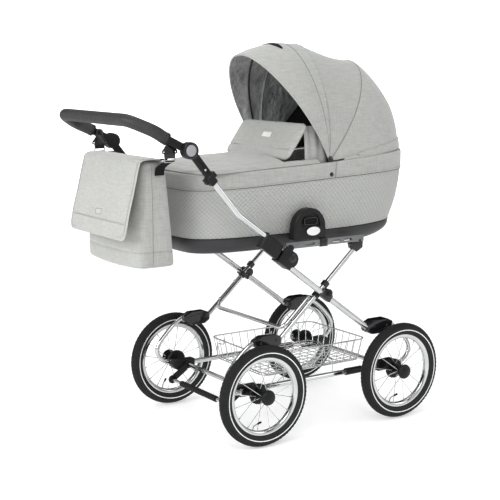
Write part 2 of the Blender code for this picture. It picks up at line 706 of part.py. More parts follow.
def front_leg_set(side_name):
    side = SIDES[side_name]
    part(leg_tube("front", side, FRONT_LEG_RADIUS), f"front_leg_{side_name}", "front_legs", "chrome")

    inner, outer = FRONT_LEG_Y - FRONT_LEG_RADIUS - 0.0005, FRONT_LEG_Y + FRONT_LEG_RADIUS + 0.003
    drop = FRONT_LEG_DROP + FRONT_LEG_RADIUS
    clamp = bevelled(leg_box(-0.024, 0.024, -drop - 0.004, 0.004, side * inner, side * outer), 0.002, 1)
    disc = pin(PIVOT_X, PIVOT_Z, side * inner, side * (outer + 0.002), 0.016)
    head = rod((PIVOT_X, side * (outer + 0.001), PIVOT_Z), (PIVOT_X, side * (outer + 0.006), PIVOT_Z), 0.010, 12, 0.005)
    shaft = pin(PIVOT_X, PIVOT_Z, side * (REAR_LEG_Y - 0.004), side * (inner + 0.002), PIN_RADIUS, 12)
    bore = leg_tube("front", side, FRONT_LEG_RADIUS + GAP)
    part(cut(union(clamp, disc, head, shaft), bore), f"pivot_clamp_{side_name}", "front_legs", "gloss_black")

    tube_top = FRONT_LEG_RADIUS - FRONT_LEG_DROP
    bottom = -FRONT_LEG_DROP - FRONT_LEG_RADIUS - 0.003
    fold_s, fold_n = leg_place(FOLD_X, FOLD_Z)
    end_s = fold_s + HOUSING_LENGTH
    middle = fold_n - HOUSING_DROP
    inner, outer = side * HOUSING_INNER_Y, side * HOUSING_OUTER_Y
    collar = leg_box(COLLAR_START, end_s, bottom, tube_top + 0.003, side * (FRONT_LEG_Y - 0.0135), outer)
    disc_x, disc_z = front_leg(fold_s, middle)
    end_disc = pin(disc_x, disc_z, inner, outer, HOUSING_RADIUS, 16)
    trunk = leg_box(fold_s, end_s, middle - HOUSING_RADIUS + 0.001, middle + HOUSING_RADIUS - 0.001, inner, outer)
    cheek = HANDLE_Y - HANDLE_RADIUS - RUN
    lug = pin(-STRAP_PIN_X, STRAP_PIN_Z, inner, side * cheek, 0.012)
    slot = leg_box(fold_s - SLOT_BACK, end_s + 0.02, tube_top + 0.0002, 0.07, side * cheek,
                   side * (HANDLE_Y + HANDLE_RADIUS + RUN))
    stub = pin(-STRAP_PIN_X, STRAP_PIN_Z, side * (REAR_STRAP_Y - 0.0025), side * (HOUSING_INNER_Y + 0.001),
               PIN_RADIUS, 12)
    shaft = pin(FOLD_X, FOLD_Z, side * (HOUSING_INNER_Y + 0.001), side * (HOUSING_OUTER_Y + 0.002), PIN_RADIUS, 12)
    housing = cut(union(trunk, end_disc, lug, collar), slot, leg_tube("front", side, FRONT_LEG_RADIUS + GAP, GAP))
    part(union(housing, stub, shaft), f"handle_housing_{side_name}", "front_legs", "black_plastic")


# Straps

def strap(x0, x1, y, side, pin_x):
    low, high = STRAP_Z - STRAP_HEIGHT / 2, STRAP_Z + STRAP_HEIGHT / 2
    y0, y1 = side * (y - STRAP_THICKNESS / 2), side * (y + STRAP_THICKNESS / 2)
    flat = box(x0, x1, y0, y1, low, high)
    return flat, pin(pin_x, STRAP_PIN_Z, y0 * 0.99, y1 * 1.01, PIN_RADIUS + RUN, 12)


def straps(side_name):
    side = SIDES[side_name]
    flat, hole = strap(FRONT_STRAP_REAR_X, FRONT_STRAP_END_X, FRONT_STRAP_Y, side, STRAP_PIN_X)
    part(cut(flat, hole), f"front_strap_{side_name}", "front_straps", "steel")

    flat, hole = strap(REAR_STRAP_END_X, REAR_STRAP_FRONT_X, REAR_STRAP_Y, side, -STRAP_PIN_X)
    low, high = STRAP_Z - STRAP_HEIGHT / 2, STRAP_Z + STRAP_HEIGHT / 2
    outer = REAR_STRAP_Y + STRAP_THICKNESS / 2
    inner = FRONT_STRAP_Y - STRAP_THICKNESS / 2
    x1 = REAR_STRAP_FRONT_X
    x0 = x1 - GUIDE_LENGTH
    lips = []
    for z0, z1 in ((low - RUN - GUIDE_LIP, low - RUN), (high + RUN, high + RUN + GUIDE_LIP)):
        lips.append(box(x0, x1, side * inner, side * outer, z0, z1))
    cheek = box(x0, x1, side * (outer - 0.003), side * (outer + 0.002), low - RUN - GUIDE_LIP, high + RUN + GUIDE_LIP)
    part(union(cut(flat, hole), cheek, *lips), f"rear_strap_{side_name}", "carrier", "steel")


# Handle

def handle_line(distance):
    return front_leg(distance, HANDLE_RISE)


def handle_side(side_name):
    side = SIDES[side_name]
    y = side * HANDLE_Y
    start = handle_line(leg_place(FOLD_X, FOLD_Z)[0])
    bend_s = (PIVOT_X - HANDLE_BEND_X + HANDLE_RISE * math.sin(FRONT_LEG_ANGLE)) / math.cos(FRONT_LEG_ANGLE)
    bend = handle_line(bend_s)
    top = (HANDLE_TOP_X, HANDLE_TOP_Z)
    route = rounded([(start[0], y, start[1]), (bend[0], y, bend[1]), (top[0], y, top[1])], HANDLE_BEND_RADIUS)
    tube = pipe(route, HANDLE_RADIUS, 1)
    knuckle = pin(FOLD_X, FOLD_Z, side * (HANDLE_Y - HANDLE_RADIUS), side * (HANDLE_Y + HANDLE_RADIUS),
                  KNUCKLE_RADIUS, 16)
    hole = pin(FOLD_X, FOLD_Z, side * (HANDLE_Y - 0.02), side * (HANDLE_Y + 0.02), PIN_RADIUS + RUN, 12)
    part(cut(union(tube, knuckle), hole), f"handle_tube_{side_name}", "handle", "chrome")

    half = LOCK_LENGTH / 2
    middle = LOCK_MIDDLE
    y0, y1 = y - LOCK_WIDTH / 2, y + LOCK_WIDTH / 2
    lock = leg_box(LOCK_DISTANCE - half, LOCK_DISTANCE + half, middle - LOCK_HEIGHT / 2, middle + LOCK_HEIGHT / 2,
                   y0, y1)
    lock = bevelled(lock, 0.006, 1)
    lip = leg_box(LOCK_DISTANCE + half - 0.010, LOCK_DISTANCE + half - 0.002, middle - LOCK_HEIGHT / 2 - 0.004,
                  middle + LOCK_HEIGHT / 2 + 0.004, y0, y1)
    a, b = handle_line(LOCK_DISTANCE - 0.06), handle_line(LOCK_DISTANCE + 0.06)
    bore = bar(a, b, y, HANDLE_RADIUS + RUN)
    part(cut(union(lock, bevelled(lip, 0.003, 1)), bore), f"fold_lock_{side_name}", f"fold_lock_{side_name}",
         "gloss_black")

    # The black arm from the tube's top to the upper hinge, with a collar and two wing tabs
    along = math.atan2(HINGE_Z - HANDLE_TOP_Z, HANDLE_TOP_X - HINGE_X)
    reach = math.hypot(HINGE_X - HANDLE_TOP_X, HINGE_Z - HANDLE_TOP_Z)
    hx, hz = HINGE_X, HINGE_Z
    about = (hx, hz)

    def arm_box(d0, d1, n0, n1, y0, y1):
        return box(hx + d0, hx + d1, y0, y1, hz + n0, hz + n1, -along, about)

    half = COLLAR_WIDTH / 2
    collar = arm_box(reach - COLLAR_NOSE, reach + SOCKET_DEPTH, -half, half, y - half, y + half)
    collar = bevelled(collar, COLLAR_BEVEL, 1)
    wide = half + TAB_REACH
    tabs = arm_box(reach - TAB_START, reach + TAB_END, -wide, wide, y - TAB_HALF_WIDTH, y + TAB_HALF_WIDTH)
    outer = side * LOWER_DISC_OUTER_Y
    shank = arm_box(SHANK_START, reach, -SHANK_HALF_HEIGHT, SHANK_HALF_HEIGHT, side * (HANDLE_Y - SHANK_INNER), outer)
    shank = bevelled(shank, EDGE_BEVEL, 1)
    shank_slot = arm_box(SHANK_SLOT_START, reach - SHANK_SLOT_END, -SHANK_SLOT_HALF, SHANK_SLOT_HALF,
                         outer - side * SHANK_SLOT_DEPTH, outer + side * SHANK_SLOT_DEPTH)
    disc = pin(hx, hz, side * LOWER_DISC_INNER_Y, side * LOWER_DISC_OUTER_Y, ARM_DISC_RADIUS, 20)
    pocket_floor = LOWER_DISC_INNER_Y + 0.002
    pocket = pin(hx, hz, side * pocket_floor, side * (LOWER_DISC_OUTER_Y + 0.01), BUTTON_RADIUS + RUN, 18)
    tube_hole = pipe(route, HANDLE_RADIUS + GAP, 1)
    end_clear = rod((HANDLE_TOP_X, y, HANDLE_TOP_Z),
                    (HANDLE_TOP_X - 0.0003, y, HANDLE_TOP_Z + 0.0003), HANDLE_RADIUS + GAP)
    arm = cut(union(disc, shank, collar, tabs), pocket, tube_hole, end_clear, shank_slot)
    part(arm, f"lower_arm_{side_name}", "handle", "black_plastic")

    depth = BUTTON_OUTER_Y - pocket_floor - BUTTON_TRAVEL - RUN
    button = pin(hx, hz, side * (BUTTON_OUTER_Y - depth), side * BUTTON_OUTER_Y, BUTTON_RADIUS, 18)
    part(button, f"hinge_button_{side_name}", f"hinge_button_{side_name}", "grey_plastic")

    # The upper arm swings beside the lower one; its stud holds the bag's clip
    def grip_box(d0, d1, n0, n1, y0, y1):
        return box(hx - d1, hx - d0, y0, y1, hz + n0, hz + n1, -GRIP_SLOPE, about)

    upper = pin(hx, hz, side * UPPER_ARM_INNER_Y, side * UPPER_ARM_OUTER_Y, ARM_DISC_RADIUS - 0.001, 20)
    blade = bevelled(grip_box(0.010, GRIP_START - GAP, -0.012, 0.012, side * UPPER_ARM_INNER_Y,
                              side * UPPER_ARM_OUTER_Y), 0.002, 1)
    sx, sz = grip_point(STUD_DISTANCE)
    stud = pin(sx, sz, side * STUD_INNER_Y, side * (UPPER_ARM_INNER_Y + 0.004), STUD_RADIUS, 12)
    part(union(upper, blade, stud), f"upper_arm_{side_name}", "grip", "black_plastic")


def grip_point(distance):
    return HINGE_X - distance * math.cos(GRIP_SLOPE), HINGE_Z + distance * math.sin(GRIP_SLOPE)


def grip():
    straight = GRIP_START + 0.012
    stops = [(GRIP_START, GRIP_START_Y), (straight, GRIP_START_Y), (GRIP_CORNER, GRIP_WIDE_Y), (GRIP_BAR, GRIP_BAR_Y)]
    route = [(grip_point(d)[0], y, grip_point(d)[1]) for d, y in stops]
    route += [(x, -y, z) for x, y, z in reversed(route)]
    part(pipe(rounded(route, GRIP_BEND, 4), GRIP_RADIUS, 2), "grip", "grip", "leather")


# Brake and basket

def brake():
    x, z = -AXLE_X, AXLE_Z
    half = BRAKE_ARM_WIDTH / 2
    shapes = [rod((BRAKE_BAR_X, -BRAKE_ARM_Y, BRAKE_BAR_Z), (BRAKE_BAR_X, BRAKE_ARM_Y, BRAKE_BAR_Z),
                  BRAKE_BAR_RADIUS, 12)]
    holes = []
    angle = math.atan2(BRAKE_BAR_Z - z, x - BRAKE_BAR_X)
    reach = math.hypot(BRAKE_BAR_X - x, BRAKE_BAR_Z - z)
    for side in SIDES.values():
        y0, y1 = side * (BRAKE_ARM_Y - half), side * (BRAKE_ARM_Y + half)
        shapes.append(pin(x, z, y0, y1, AXLE_TUBE_RADIUS + 0.006))
        shapes.append(box(x - reach, x - 0.010, y0, y1, z - 0.009, z + 0.009, -angle, (x, z)))
        shapes.append(pin(BRAKE_BAR_X, BRAKE_BAR_Z, y0, y1, 0.0115, 12))
        holes.append(pin(x, z, side * (BRAKE_ARM_Y - 0.02), side * (BRAKE_ARM_Y + 0.02), AXLE_TUBE_RADIUS + RUN))
    shapes.append(rod((BRAKE_BAR_X, -BRAKE_SLEEVE_HALF, BRAKE_BAR_Z), (BRAKE_BAR_X, BRAKE_SLEEVE_HALF, BRAKE_BAR_Z),
                      BRAKE_SLEEVE_RADIUS, 12))
    part(cut(union(*shapes), *holes), "brake_bar", "brake", "black_metal")


def basket():
    """Crossed wires: a coarse cage of quads turned into a lattice, with hooks over the outer rails."""
    bm = bmesh.new()
    cells_x, cells_y = 6, 4
    bmesh.ops.create_grid(bm, x_segments=cells_x, y_segments=cells_y, size=0.5)
    length = BASKET_FRONT_X - BASKET_REAR_X - 2 * BASKET_TAPER
    width = 2 * (BASKET_HALF_WIDTH - BASKET_TAPER)
    bmesh.ops.scale(bm, vec=(length, width, 1), verts=bm.verts)
    middle = (BASKET_FRONT_X + BASKET_REAR_X) / 2
    bmesh.ops.translate(bm, vec=(middle, 0, BASKET_FLOOR_Z), verts=bm.verts)
    edges = [e for e in bm.edges if e.is_boundary]
    rise = (BASKET_TOP_Z - BASKET_FLOOR_Z) / 2
    for _ in range(2):
        made = bmesh.ops.extrude_edge_only(bm, edges=edges)["geom"]
        edges = [g for g in made if isinstance(g, bmesh.types.BMEdge)]
        verts = [g for g in made if isinstance(g, bmesh.types.BMVert)]
        for v in verts:
            v.co.x = middle + (v.co.x - middle) * (1 + BASKET_TAPER / length)
            v.co.y *= 1 + BASKET_TAPER / width
            v.co.z += rise
        edges = [e for e in edges if all(v in set(verts) for v in e.verts)]
    obj = from_bmesh(bm)
    wire = obj.modifiers.new("Wireframe", "WIREFRAME")
    wire.thickness = BASKET_WIRE
    wire.use_even_offset = False
    wire.use_boundary = True
    lattice = outward(bake(obj))
    hooks = []
    for side in SIDES.values():
        for x in HOOK_X:
            foot = AXLE_Z + OUTER_RAIL_RADIUS + GAP
            route = [(x, side * (BASKET_HALF_WIDTH - 0.006), 0.228), (x, side * RAIL_Y, 0.222), (x, side * RAIL_Y, foot)]
            hooks.append(pipe(rounded(route, 0.012, 3), 0.002, 1))
    part(union(lattice, *hooks), "basket", "pushchair", "chrome")


# Carrycot

def cot_ring(foot, head, half_width, height, shrink=0.0):
    """A rounded rectangle in plan; height gives Z for each X."""
    middle, half = (foot + head) / 2, (head - foot) / 2 - shrink
    ring = []
    for i in range(COT_POINTS):
        a = 2 * math.pi * (i + 0.5) / COT_POINTS
        c, s = math.cos(a), math.sin(a)
        x = middle + half * math.copysign(abs(c) ** (2 / COT_SQUARENESS), c)
        y = (half_width - shrink) * math.copysign(abs(s) ** (2 / COT_SQUARENESS), s)
        ring.append((x, y, height(x)))
    return ring


def cot_side(half_width):
    """The |y| of the flat middle facet of a ring."""
    return half_width * math.cos(math.pi / COT_POINTS) ** (2 / COT_SQUARENESS)


def rim_height(x):
    """The rim climbs gently from the foot to the middle, and faster to the head."""
    if x < 0:
        share = (x - COT_FOOT_X) / (0 - COT_FOOT_X)
        return COT_RIM_FOOT_Z + (COT_RIM_MIDDLE_Z - COT_RIM_FOOT_Z) * share
    return COT_RIM_MIDDLE_Z + (COT_RIM_HEAD_Z - COT_RIM_MIDDLE_Z) * x / COT_HEAD_X


def seam_height(x):
    return COT_SEAM_Z + 0.012 * max(0.0, x / COT_BASE_HEAD_X) ** 2


def tub(rows, wall):
    """A tub with a floor: a lofted open surface closed at its first row, thickened inwards."""
    bm = surface(rows, True)
    bm.verts.ensure_lookup_table()
    floor = bm.faces.new([bm.verts[i] for i in range(COT_POINTS)])
    bmesh.ops.recalc_face_normals(bm, faces=bm.faces)
    if floor.normal.z > 0:
        bmesh.ops.reverse_faces(bm, faces=bm.faces)
    obj = from_bmesh(bm)
    solidify = obj.modifiers.new("Solidify", "SOLIDIFY")
    solidify.thickness = wall
    solidify.offset = -1
    solidify.use_even_offset = True
    return outward(bake(obj))


def cot():
    def base_height(share):
        return lambda x: COT_FLOOR_Z + (seam_height(x) - COT_FLOOR_Z) * share

    base_rows = []
    for share in (0.0, 0.12, 0.45, 0.85, 1.0):
        grow = math.sin(min(1.0, share / 0.85) * math.pi / 2) ** 0.7
        foot = COT_FLOOR_FOOT_X + (COT_BASE_FOOT_X - COT_FLOOR_FOOT_X) * grow
        head = COT_FLOOR_HEAD_X + (COT_BASE_HEAD_X - COT_FLOOR_HEAD_X) * grow
        width = COT_FLOOR_HALF_WIDTH + (COT_BASE_HALF_WIDTH - COT_FLOOR_HALF_WIDTH) * grow
        base_rows.append(cot_ring(foot, head, width, base_height(share)))
    part(tub(base_rows, BASE_WALL), "cot_base", "cot", "black_plastic")

    def body_height(share):
        return lambda x: seam_height(x) + GAP + (rim_height(x) - seam_height(x) - GAP) * share

    body_rows = []
    for share in (0.0, 0.30, 0.68, 0.76, 1.0):
        grow = min(1.0, share / 0.76)
        foot = COT_BASE_FOOT_X + (COT_FOOT_X - COT_BASE_FOOT_X) * grow
        head = COT_BASE_HEAD_X + (COT_HEAD_X - COT_BASE_HEAD_X) * grow
        width = COT_BASE_HALF_WIDTH + (COT_HALF_WIDTH - COT_BASE_HALF_WIDTH) * grow
        body_rows.append(cot_ring(foot, head, width, body_height(share)))
    part(tub(body_rows, COT_WALL), "cot_body", "cot", "quilted_leather")

    inset = COT_WALL + 0.004
    low = seam_height(COT_BASE_HEAD_X - inset) + COT_WALL + 2 * GAP
    rows = []
    for rise, shrink in ((0, 0.010), (0.35, 0.0), (0.75, 0.002), (1.0, 0.016)):
        rows.append(cot_ring(COT_BASE_FOOT_X + inset, COT_BASE_HEAD_X - inset, COT_BASE_HALF_WIDTH - inset,
                             lambda x, r=rise: low + MATTRESS_HEIGHT * r, shrink))
    bm = surface(rows, True)
    bmesh.ops.holes_fill(bm, edges=bm.edges, sides=COT_POINTS)
    part(outward(from_bmesh(bm)), "mattress", "cot", "cloth")

    for side_name, side in SIDES.items():
        cot_bracket(side_name, side)


def cot_bracket(side_name, side):
    """The arched side bracket that stands on the straps and carries the cot, with a bare oval badge."""
    low = STRAP_Z + STRAP_HEIGHT / 2 + RUN + GUIDE_LIP + GAP
    x0, x1 = BRACKET_REAR_X, BRACKET_FRONT_X
    middle, half = (x0 + x1) / 2, (x1 - x0) / 2
    outline = [(x0 - 0.004, low), (x1 + 0.004, low)]
    outline += arc(middle, COT_BRACKET_TOP_Z - half, half, 0, 180, 10)
    inner = max(COT_HALF_WIDTH, COT_BASE_HALF_WIDTH) + RUN
    outer = COT_BRACKET_OUTER_Y - 0.004
    shape = bevelled(plate(outline, side * inner, side * outer), 0.003, 1)
    slot_z = COT_BRACKET_TOP_Z - half + 0.010
    window = half * 0.62
    recess = plate(arc(middle, slot_z, window, 0, 180, 8) + [(middle - window, slot_z - 0.008),
                                                             (middle + window, slot_z - 0.008)],
                   side * (outer - 0.006), side * (outer + 0.01))
    badge_x, badge_z = middle + BADGE_SHIFT, low + BADGE_RISE
    badge = rod((0, side * (outer - BADGE_SINK), 0), (0, side * COT_BRACKET_OUTER_Y, 0), 1.0, 20)
    oval = Matrix.Diagonal((BADGE_HALF_LENGTH, 1, BADGE_HALF_HEIGHT, 1))
    badge.data.transform(Matrix.Translation((badge_x, 0, badge_z)) @ oval)
    seat = box(x0 + BRACKET_SEAT_INSET, x1 - BRACKET_SEAT_INSET, side * (cot_side(COT_BASE_HALF_WIDTH) + GAP),
               side * (inner + BRACKET_SEAT_DEPTH), low, COT_SEAM_Z - GAP)
    part(union(cut(shape, recess), badge, seat), f"cot_bracket_{side_name}", "cot", "black_plastic")


def apron():
    """A quilted, crowned cover on the rim at the foot end: sewn channels run across it."""
    rows_x, rows_y = 24, 9
    bm = bmesh.new()
    bmesh.ops.create_grid(bm, x_segments=rows_x, y_segments=rows_y, size=0.5)
    length = APRON_HEAD_X - APRON_FOOT_X
    top, under = {}, GAP + 0.0005
    for v in bm.verts:
        share_x, share_y = v.co.x + 0.5, v.co.y * 2
        x = APRON_FOOT_X + share_x * length
        corner = max(0.0, 1 - share_x * length / 0.12)
        half = APRON_HALF_WIDTH * (1 - 0.5 * corner ** 3) - 0.004 * corner
        channel = abs(math.sin(math.pi * APRON_CHANNELS * share_x))
        edge = (1 - abs(share_y) ** 6) * (1 - (1 - min(1.0, share_x * length / 0.03)) ** 2)
        puff = APRON_CROWN * (1 - share_y ** 2) * edge + 0.006 * (channel ** 0.5) * edge
        top[v] = (x, share_y * half, rim_height(x) + under + APRON_EDGE * (0.45 + 0.55 * edge) + puff)
        v.co = (x, share_y * half, rim_height(x) + under)
    made = bmesh.ops.extrude_face_region(bm, geom=list(bm.faces))["geom"]
    upper = [g for g in made if isinstance(g, bmesh.types.BMVert)]
    heights = {(round(v.co.x, 6), round(v.co.y, 6)): top[v][2] for v in top}
    for v in upper:
        v.co.z = heights[(round(v.co.x, 6), round(v.co.y, 6))]
    part(outward(from_bmesh(bm)), "apron", "cot", "quilted_leather")

    lean = math.atan2(FLAP_TOP_Z - FLAP_LOW_Z, FLAP_TOP_X - FLAP_LOW_X)
    length = math.hypot(FLAP_TOP_X - FLAP_LOW_X, FLAP_TOP_Z - FLAP_LOW_Z)
    flap = box(FLAP_LOW_X, FLAP_LOW_X + length, -FLAP_HALF_WIDTH, FLAP_HALF_WIDTH, FLAP_LOW_Z,
               FLAP_LOW_Z + FLAP_THICKNESS, lean, (FLAP_LOW_X, FLAP_LOW_Z))
    part(bevelled(flap, 0.005, 2), "apron_flap", "cot", "quilted_leather")


# Hood

def hood_radius(angle):
    """The rear panel bellies out above its hem and draws in again to the hem."""
    degrees = math.degrees(angle)
    if degrees < 25:
        return HOOD_REAR_RADIUS - 0.022 * ((25 - degrees) / 20) ** 1.4
    return HOOD_REAR_RADIUS - 0.008 * max(0.0, (degrees - 40) / 10) ** 2


def hood_panel(name, body_name, low, high, radius, half_width):
    """A panel of cloth between two bows that turn about the hood's pivots."""
    bows = max(3, round(math.degrees(high - low) / 8))
    across = 16
    rows = []
    for i in range(bows + 1):
        angle = low + (high - low) * i / bows
        row = []
        for j in range(across + 1):
            a = math.pi * (0.04 + 0.92 * j / across)
            c, s = math.cos(a), math.sin(a)
            y = half_width * math.copysign(abs(c) ** (2 / HOOD_POWER), c)
            r = radius(angle) * s ** (2 / HOOD_POWER)
            row.append((HOOD_X + r * math.cos(angle), y, HOOD_Z + r * math.sin(angle)))
        rows.append(row)
    bm = surface(rows, False)
    bmesh.ops.recalc_face_normals(bm, faces=bm.faces)
    bm.faces.ensure_lookup_table()
    face = max(bm.faces, key=lambda f: f.calc_center_median().z)
    outside = face.calc_center_median() - Vector((HOOD_X, 0, HOOD_Z))
    if face.normal.dot(outside) < 0:
        bmesh.ops.reverse_faces(bm, faces=bm.faces)
    obj = from_bmesh(bm)
    solidify = obj.modifiers.new("Solidify", "SOLIDIFY")
    solidify.thickness = HOOD_CLOTH
    solidify.offset = -1
    solidify.use_even_offset = True
    cloth = outward(bake(obj))
    corners = []
    socket = cot_side(COT_HALF_WIDTH) - COT_WALL - GAP
    for side in SIDES.values():
        inner, outer = side * (half_width - HOOD_STEP + GAP), side * half_width
        fan = arc(HOOD_X, HOOD_Z, HOOD_CORNER, math.degrees(low), math.degrees(high), 3)
        corners.append(plate([(HOOD_X, HOOD_Z)] + fan, inner, outer - side * HOOD_CORNER_DEPTH))
        hub = min(half_width, socket) * side
        corners.append(pin(HOOD_X, HOOD_Z, inner, hub, HOOD_HUB_RADIUS))
    part(combine("UNION", cloth, corners, "MANIFOLD"), name, body_name, "cloth")


def hood():
    hood_panel("hood_rear", "cot", HOOD_HEM, HOOD_SEAM_TWO, hood_radius, HOOD_HALF_WIDTH)
    hood_panel("hood_middle", "hood_middle", HOOD_SEAM_TWO - HOOD_LAP, HOOD_SEAM_ONE,
               lambda a: HOOD_MIDDLE_RADIUS, HOOD_HALF_WIDTH - HOOD_STEP)
    hood_panel("hood_front", "hood_front", HOOD_SEAM_ONE - HOOD_LAP, HOOD_EDGE,
               lambda a: HOOD_MIDDLE_RADIUS - HOOD_STEP, HOOD_HALF_WIDTH - 2 * HOOD_STEP)


# Bag

def bag():
    top_rear_x = BAG_TOP_FRONT_X - BAG_TOP_DEPTH
    outline = [(top_rear_x, BAG_TOP_Z), (BAG_TOP_FRONT_X, BAG_TOP_Z), (BAG_LOW_FRONT_X, BAG_LOW_Z),
               (BAG_LOW_REAR_X, BAG_LOW_Z)]
    sack = bevelled(plate(outline, -BAG_HALF_WIDTH, BAG_HALF_WIDTH), 0.020, 2)
    sx, sz = grip_point(STUD_DISTANCE)
    clips, holes = [], []
    y0, y1 = STUD_INNER_Y + 0.002, UPPER_ARM_INNER_Y - 0.003
    for side in SIDES.values():
        clips.append(pin(sx, sz, side * y0, side * y1, STUD_RADIUS + 0.006))
        clips.append(box(sx - 0.007, sx + 0.007, side * y0, side * y1, sz - 0.060, sz - 0.006))
        foot = ((top_rear_x + BAG_TOP_FRONT_X) / 2, side * (BAG_HALF_WIDTH - BAG_CLIP_SINK), BAG_TOP_Z - BAG_CLIP_SINK)
        clips.append(rod((sx, side * (y0 + y1) / 2, sz - BAG_CLIP_DROP), foot, BAG_CLIP_RADIUS, 8))
        holes.append(pin(sx, sz, side * (y0 - 0.01), side * (y1 + 0.01), STUD_RADIUS + RUN))
    part(cut(union(sack, *clips), *holes), "bag", "bag", "quilted_leather")

    t = BAG_FLAP_THICKNESS
    lift = GAP + 0.0005
    top = BAG_TOP_Z + lift
    inner = [(BAG_FLAP_START_X, top), (top_rear_x - 0.004, top), (BAG_FLAP_LOW_X + t, BAG_FLAP_LOW_Z)]
    outer = [(BAG_FLAP_LOW_X, BAG_FLAP_LOW_Z), (top_rear_x - 0.010, top + t), (BAG_FLAP_START_X, top + t)]
    flap = plate(inner + outer, -BAG_FLAP_HALF_WIDTH, BAG_FLAP_HALF_WIDTH)
    part(bevelled(flap, 0.0015, 1), "bag_flap", "bag", "quilted_leather")


clear_scene()
PARTS = new_collection("pushchair")
HELPERS = new_collection("shapes")
BODIES = {}
MATERIALS = {
    "chrome": material("chrome", (0.80, 0.81, 0.82), 0.12, 1.0),
    "steel": material("steel", (0.62, 0.63, 0.65), 0.28, 1.0),
    "gloss_black": material("gloss_black", (0.012, 0.012, 0.013), 0.15, 0.0),
    "black_metal": material("black_metal", (0.02, 0.02, 0.022), 0.35, 0.3),
    "black_plastic": material("black_plastic", (0.018, 0.018, 0.02), 0.42, 0.0),
    "grey_plastic": material("grey_plastic", (0.22, 0.22, 0.23), 0.4, 0.0),
    "tyre": material("tyre", (0.025, 0.025, 0.026), 0.75, 0.0),
    "rubber": material("rubber", (0.02, 0.02, 0.02), 0.8, 0.0),
    "leather": material("leather", (0.05, 0.05, 0.055), 0.5, 0.0),
    "quilted_leather": material("quilted_leather", (0.09, 0.09, 0.10), 0.45, 0.0),
    "cloth": material("cloth", (0.16, 0.16, 0.18), 0.9, 0.0),
}

body("pushchair", -MIDDLE_X)
body("rear_legs", -SPRING_BOLT_X, 0, SPRING_BOLT_Z)
body("front_legs", PIVOT_X, 0, PIVOT_Z)
body("front_frame", SPRING_BOLT_X, 0, SPRING_BOLT_Z)
body("carrier", -STRAP_PIN_X, 0, STRAP_PIN_Z)
body("front_straps", STRAP_PIN_X, 0, STRAP_PIN_Z)
body("handle", FOLD_X, 0, FOLD_Z)
body("grip", HINGE_X, 0, HINGE_Z)
body("bag", grip_point(STUD_DISTANCE)[0], 0, grip_point(STUD_DISTANCE)[1])
body("brake", -AXLE_X, 0, AXLE_Z)
body("cot", 0, 0, COT_FLOOR_Z)
body("hood_middle", HOOD_X, 0, HOOD_Z)
body("hood_front", HOOD_X, 0, HOOD_Z)
for side_name, side in SIDES.items():
    lock_x, lock_z = front_leg(LOCK_DISTANCE, HANDLE_RISE)
    body(f"fold_lock_{side_name}", lock_x, side * HANDLE_Y, lock_z)
    body(f"hinge_button_{side_name}", HINGE_X, side * HANDLE_Y, HINGE_Z)
    for end, way in ENDS.items():
        body(f"wheel_{end}_{side_name}", way * AXLE_X, side * WHEEL_MIDDLE_Y, AXLE_Z)

for end in ENDS:
    axle_frame(end)
    for side_name in SIDES:
        wheel(end, side_name)
        c_spring(end, side_name)
for side_name in SIDES:
    rails(side_name)
    corner_block(side_name)
    front_leg_set(side_name)
    straps(side_name)
    handle_side(side_name)
rear_leg_frame()
grip()
brake()
basket()
cot()
apron()
hood()
bag()
bpy.data.collections.remove(HELPERS)
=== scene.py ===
"""The looks of a classic pushchair: camera, light, finishes and the fine pieces over its frame.

Metres; X points to the hood end, Y to the left and Z up, with the floor at Z = 0. Pieces are drawn from the
middle between the axles and moved by ORIGIN_X to the frame's own origin.
"""
import math

import bpy
from mathutils import Matrix, Vector, kdtree, noise


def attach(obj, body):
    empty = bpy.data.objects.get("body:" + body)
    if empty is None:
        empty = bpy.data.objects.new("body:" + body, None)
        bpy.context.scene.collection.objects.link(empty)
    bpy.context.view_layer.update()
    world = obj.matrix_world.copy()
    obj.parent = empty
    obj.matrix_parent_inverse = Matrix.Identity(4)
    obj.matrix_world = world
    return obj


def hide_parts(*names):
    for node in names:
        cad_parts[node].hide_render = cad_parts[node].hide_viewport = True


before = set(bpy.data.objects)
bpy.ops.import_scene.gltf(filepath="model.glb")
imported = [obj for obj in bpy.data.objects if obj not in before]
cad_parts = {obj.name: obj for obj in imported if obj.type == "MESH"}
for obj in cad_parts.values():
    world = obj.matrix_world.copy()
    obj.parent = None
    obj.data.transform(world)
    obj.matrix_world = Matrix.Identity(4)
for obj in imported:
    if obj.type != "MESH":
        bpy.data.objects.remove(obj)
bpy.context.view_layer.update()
ORIGIN_X = 0.146848
SIDES = {"left": 1, "right": -1}
ENDS = {"front": 1, "rear": -1}


def add(data):
    """Puts a mesh, curve, lamp or camera into the scene."""
    obj = bpy.data.objects.new(data.name, data)
    bpy.context.scene.collection.objects.link(obj)
    return obj


def add_mesh(name, points, edges=(), faces=()):
    mesh = bpy.data.meshes.new(name)
    mesh.from_pydata([tuple(p) for p in points], list(edges), list(faces))
    return add(mesh)


# Finishes: shader maths written as sums and products of sockets

def maths(operation, swapped=False):
    """A method of Term that makes one maths node."""
    def method(self, *others):
        node = self.graph.nodes.new("ShaderNodeMath")
        node.operation = operation
        for slot, value in zip(node.inputs, (*others, self) if swapped else (self, *others)):
            self.graph.feed(slot, value)
        return Term(self.graph, node.outputs[0])
    return method


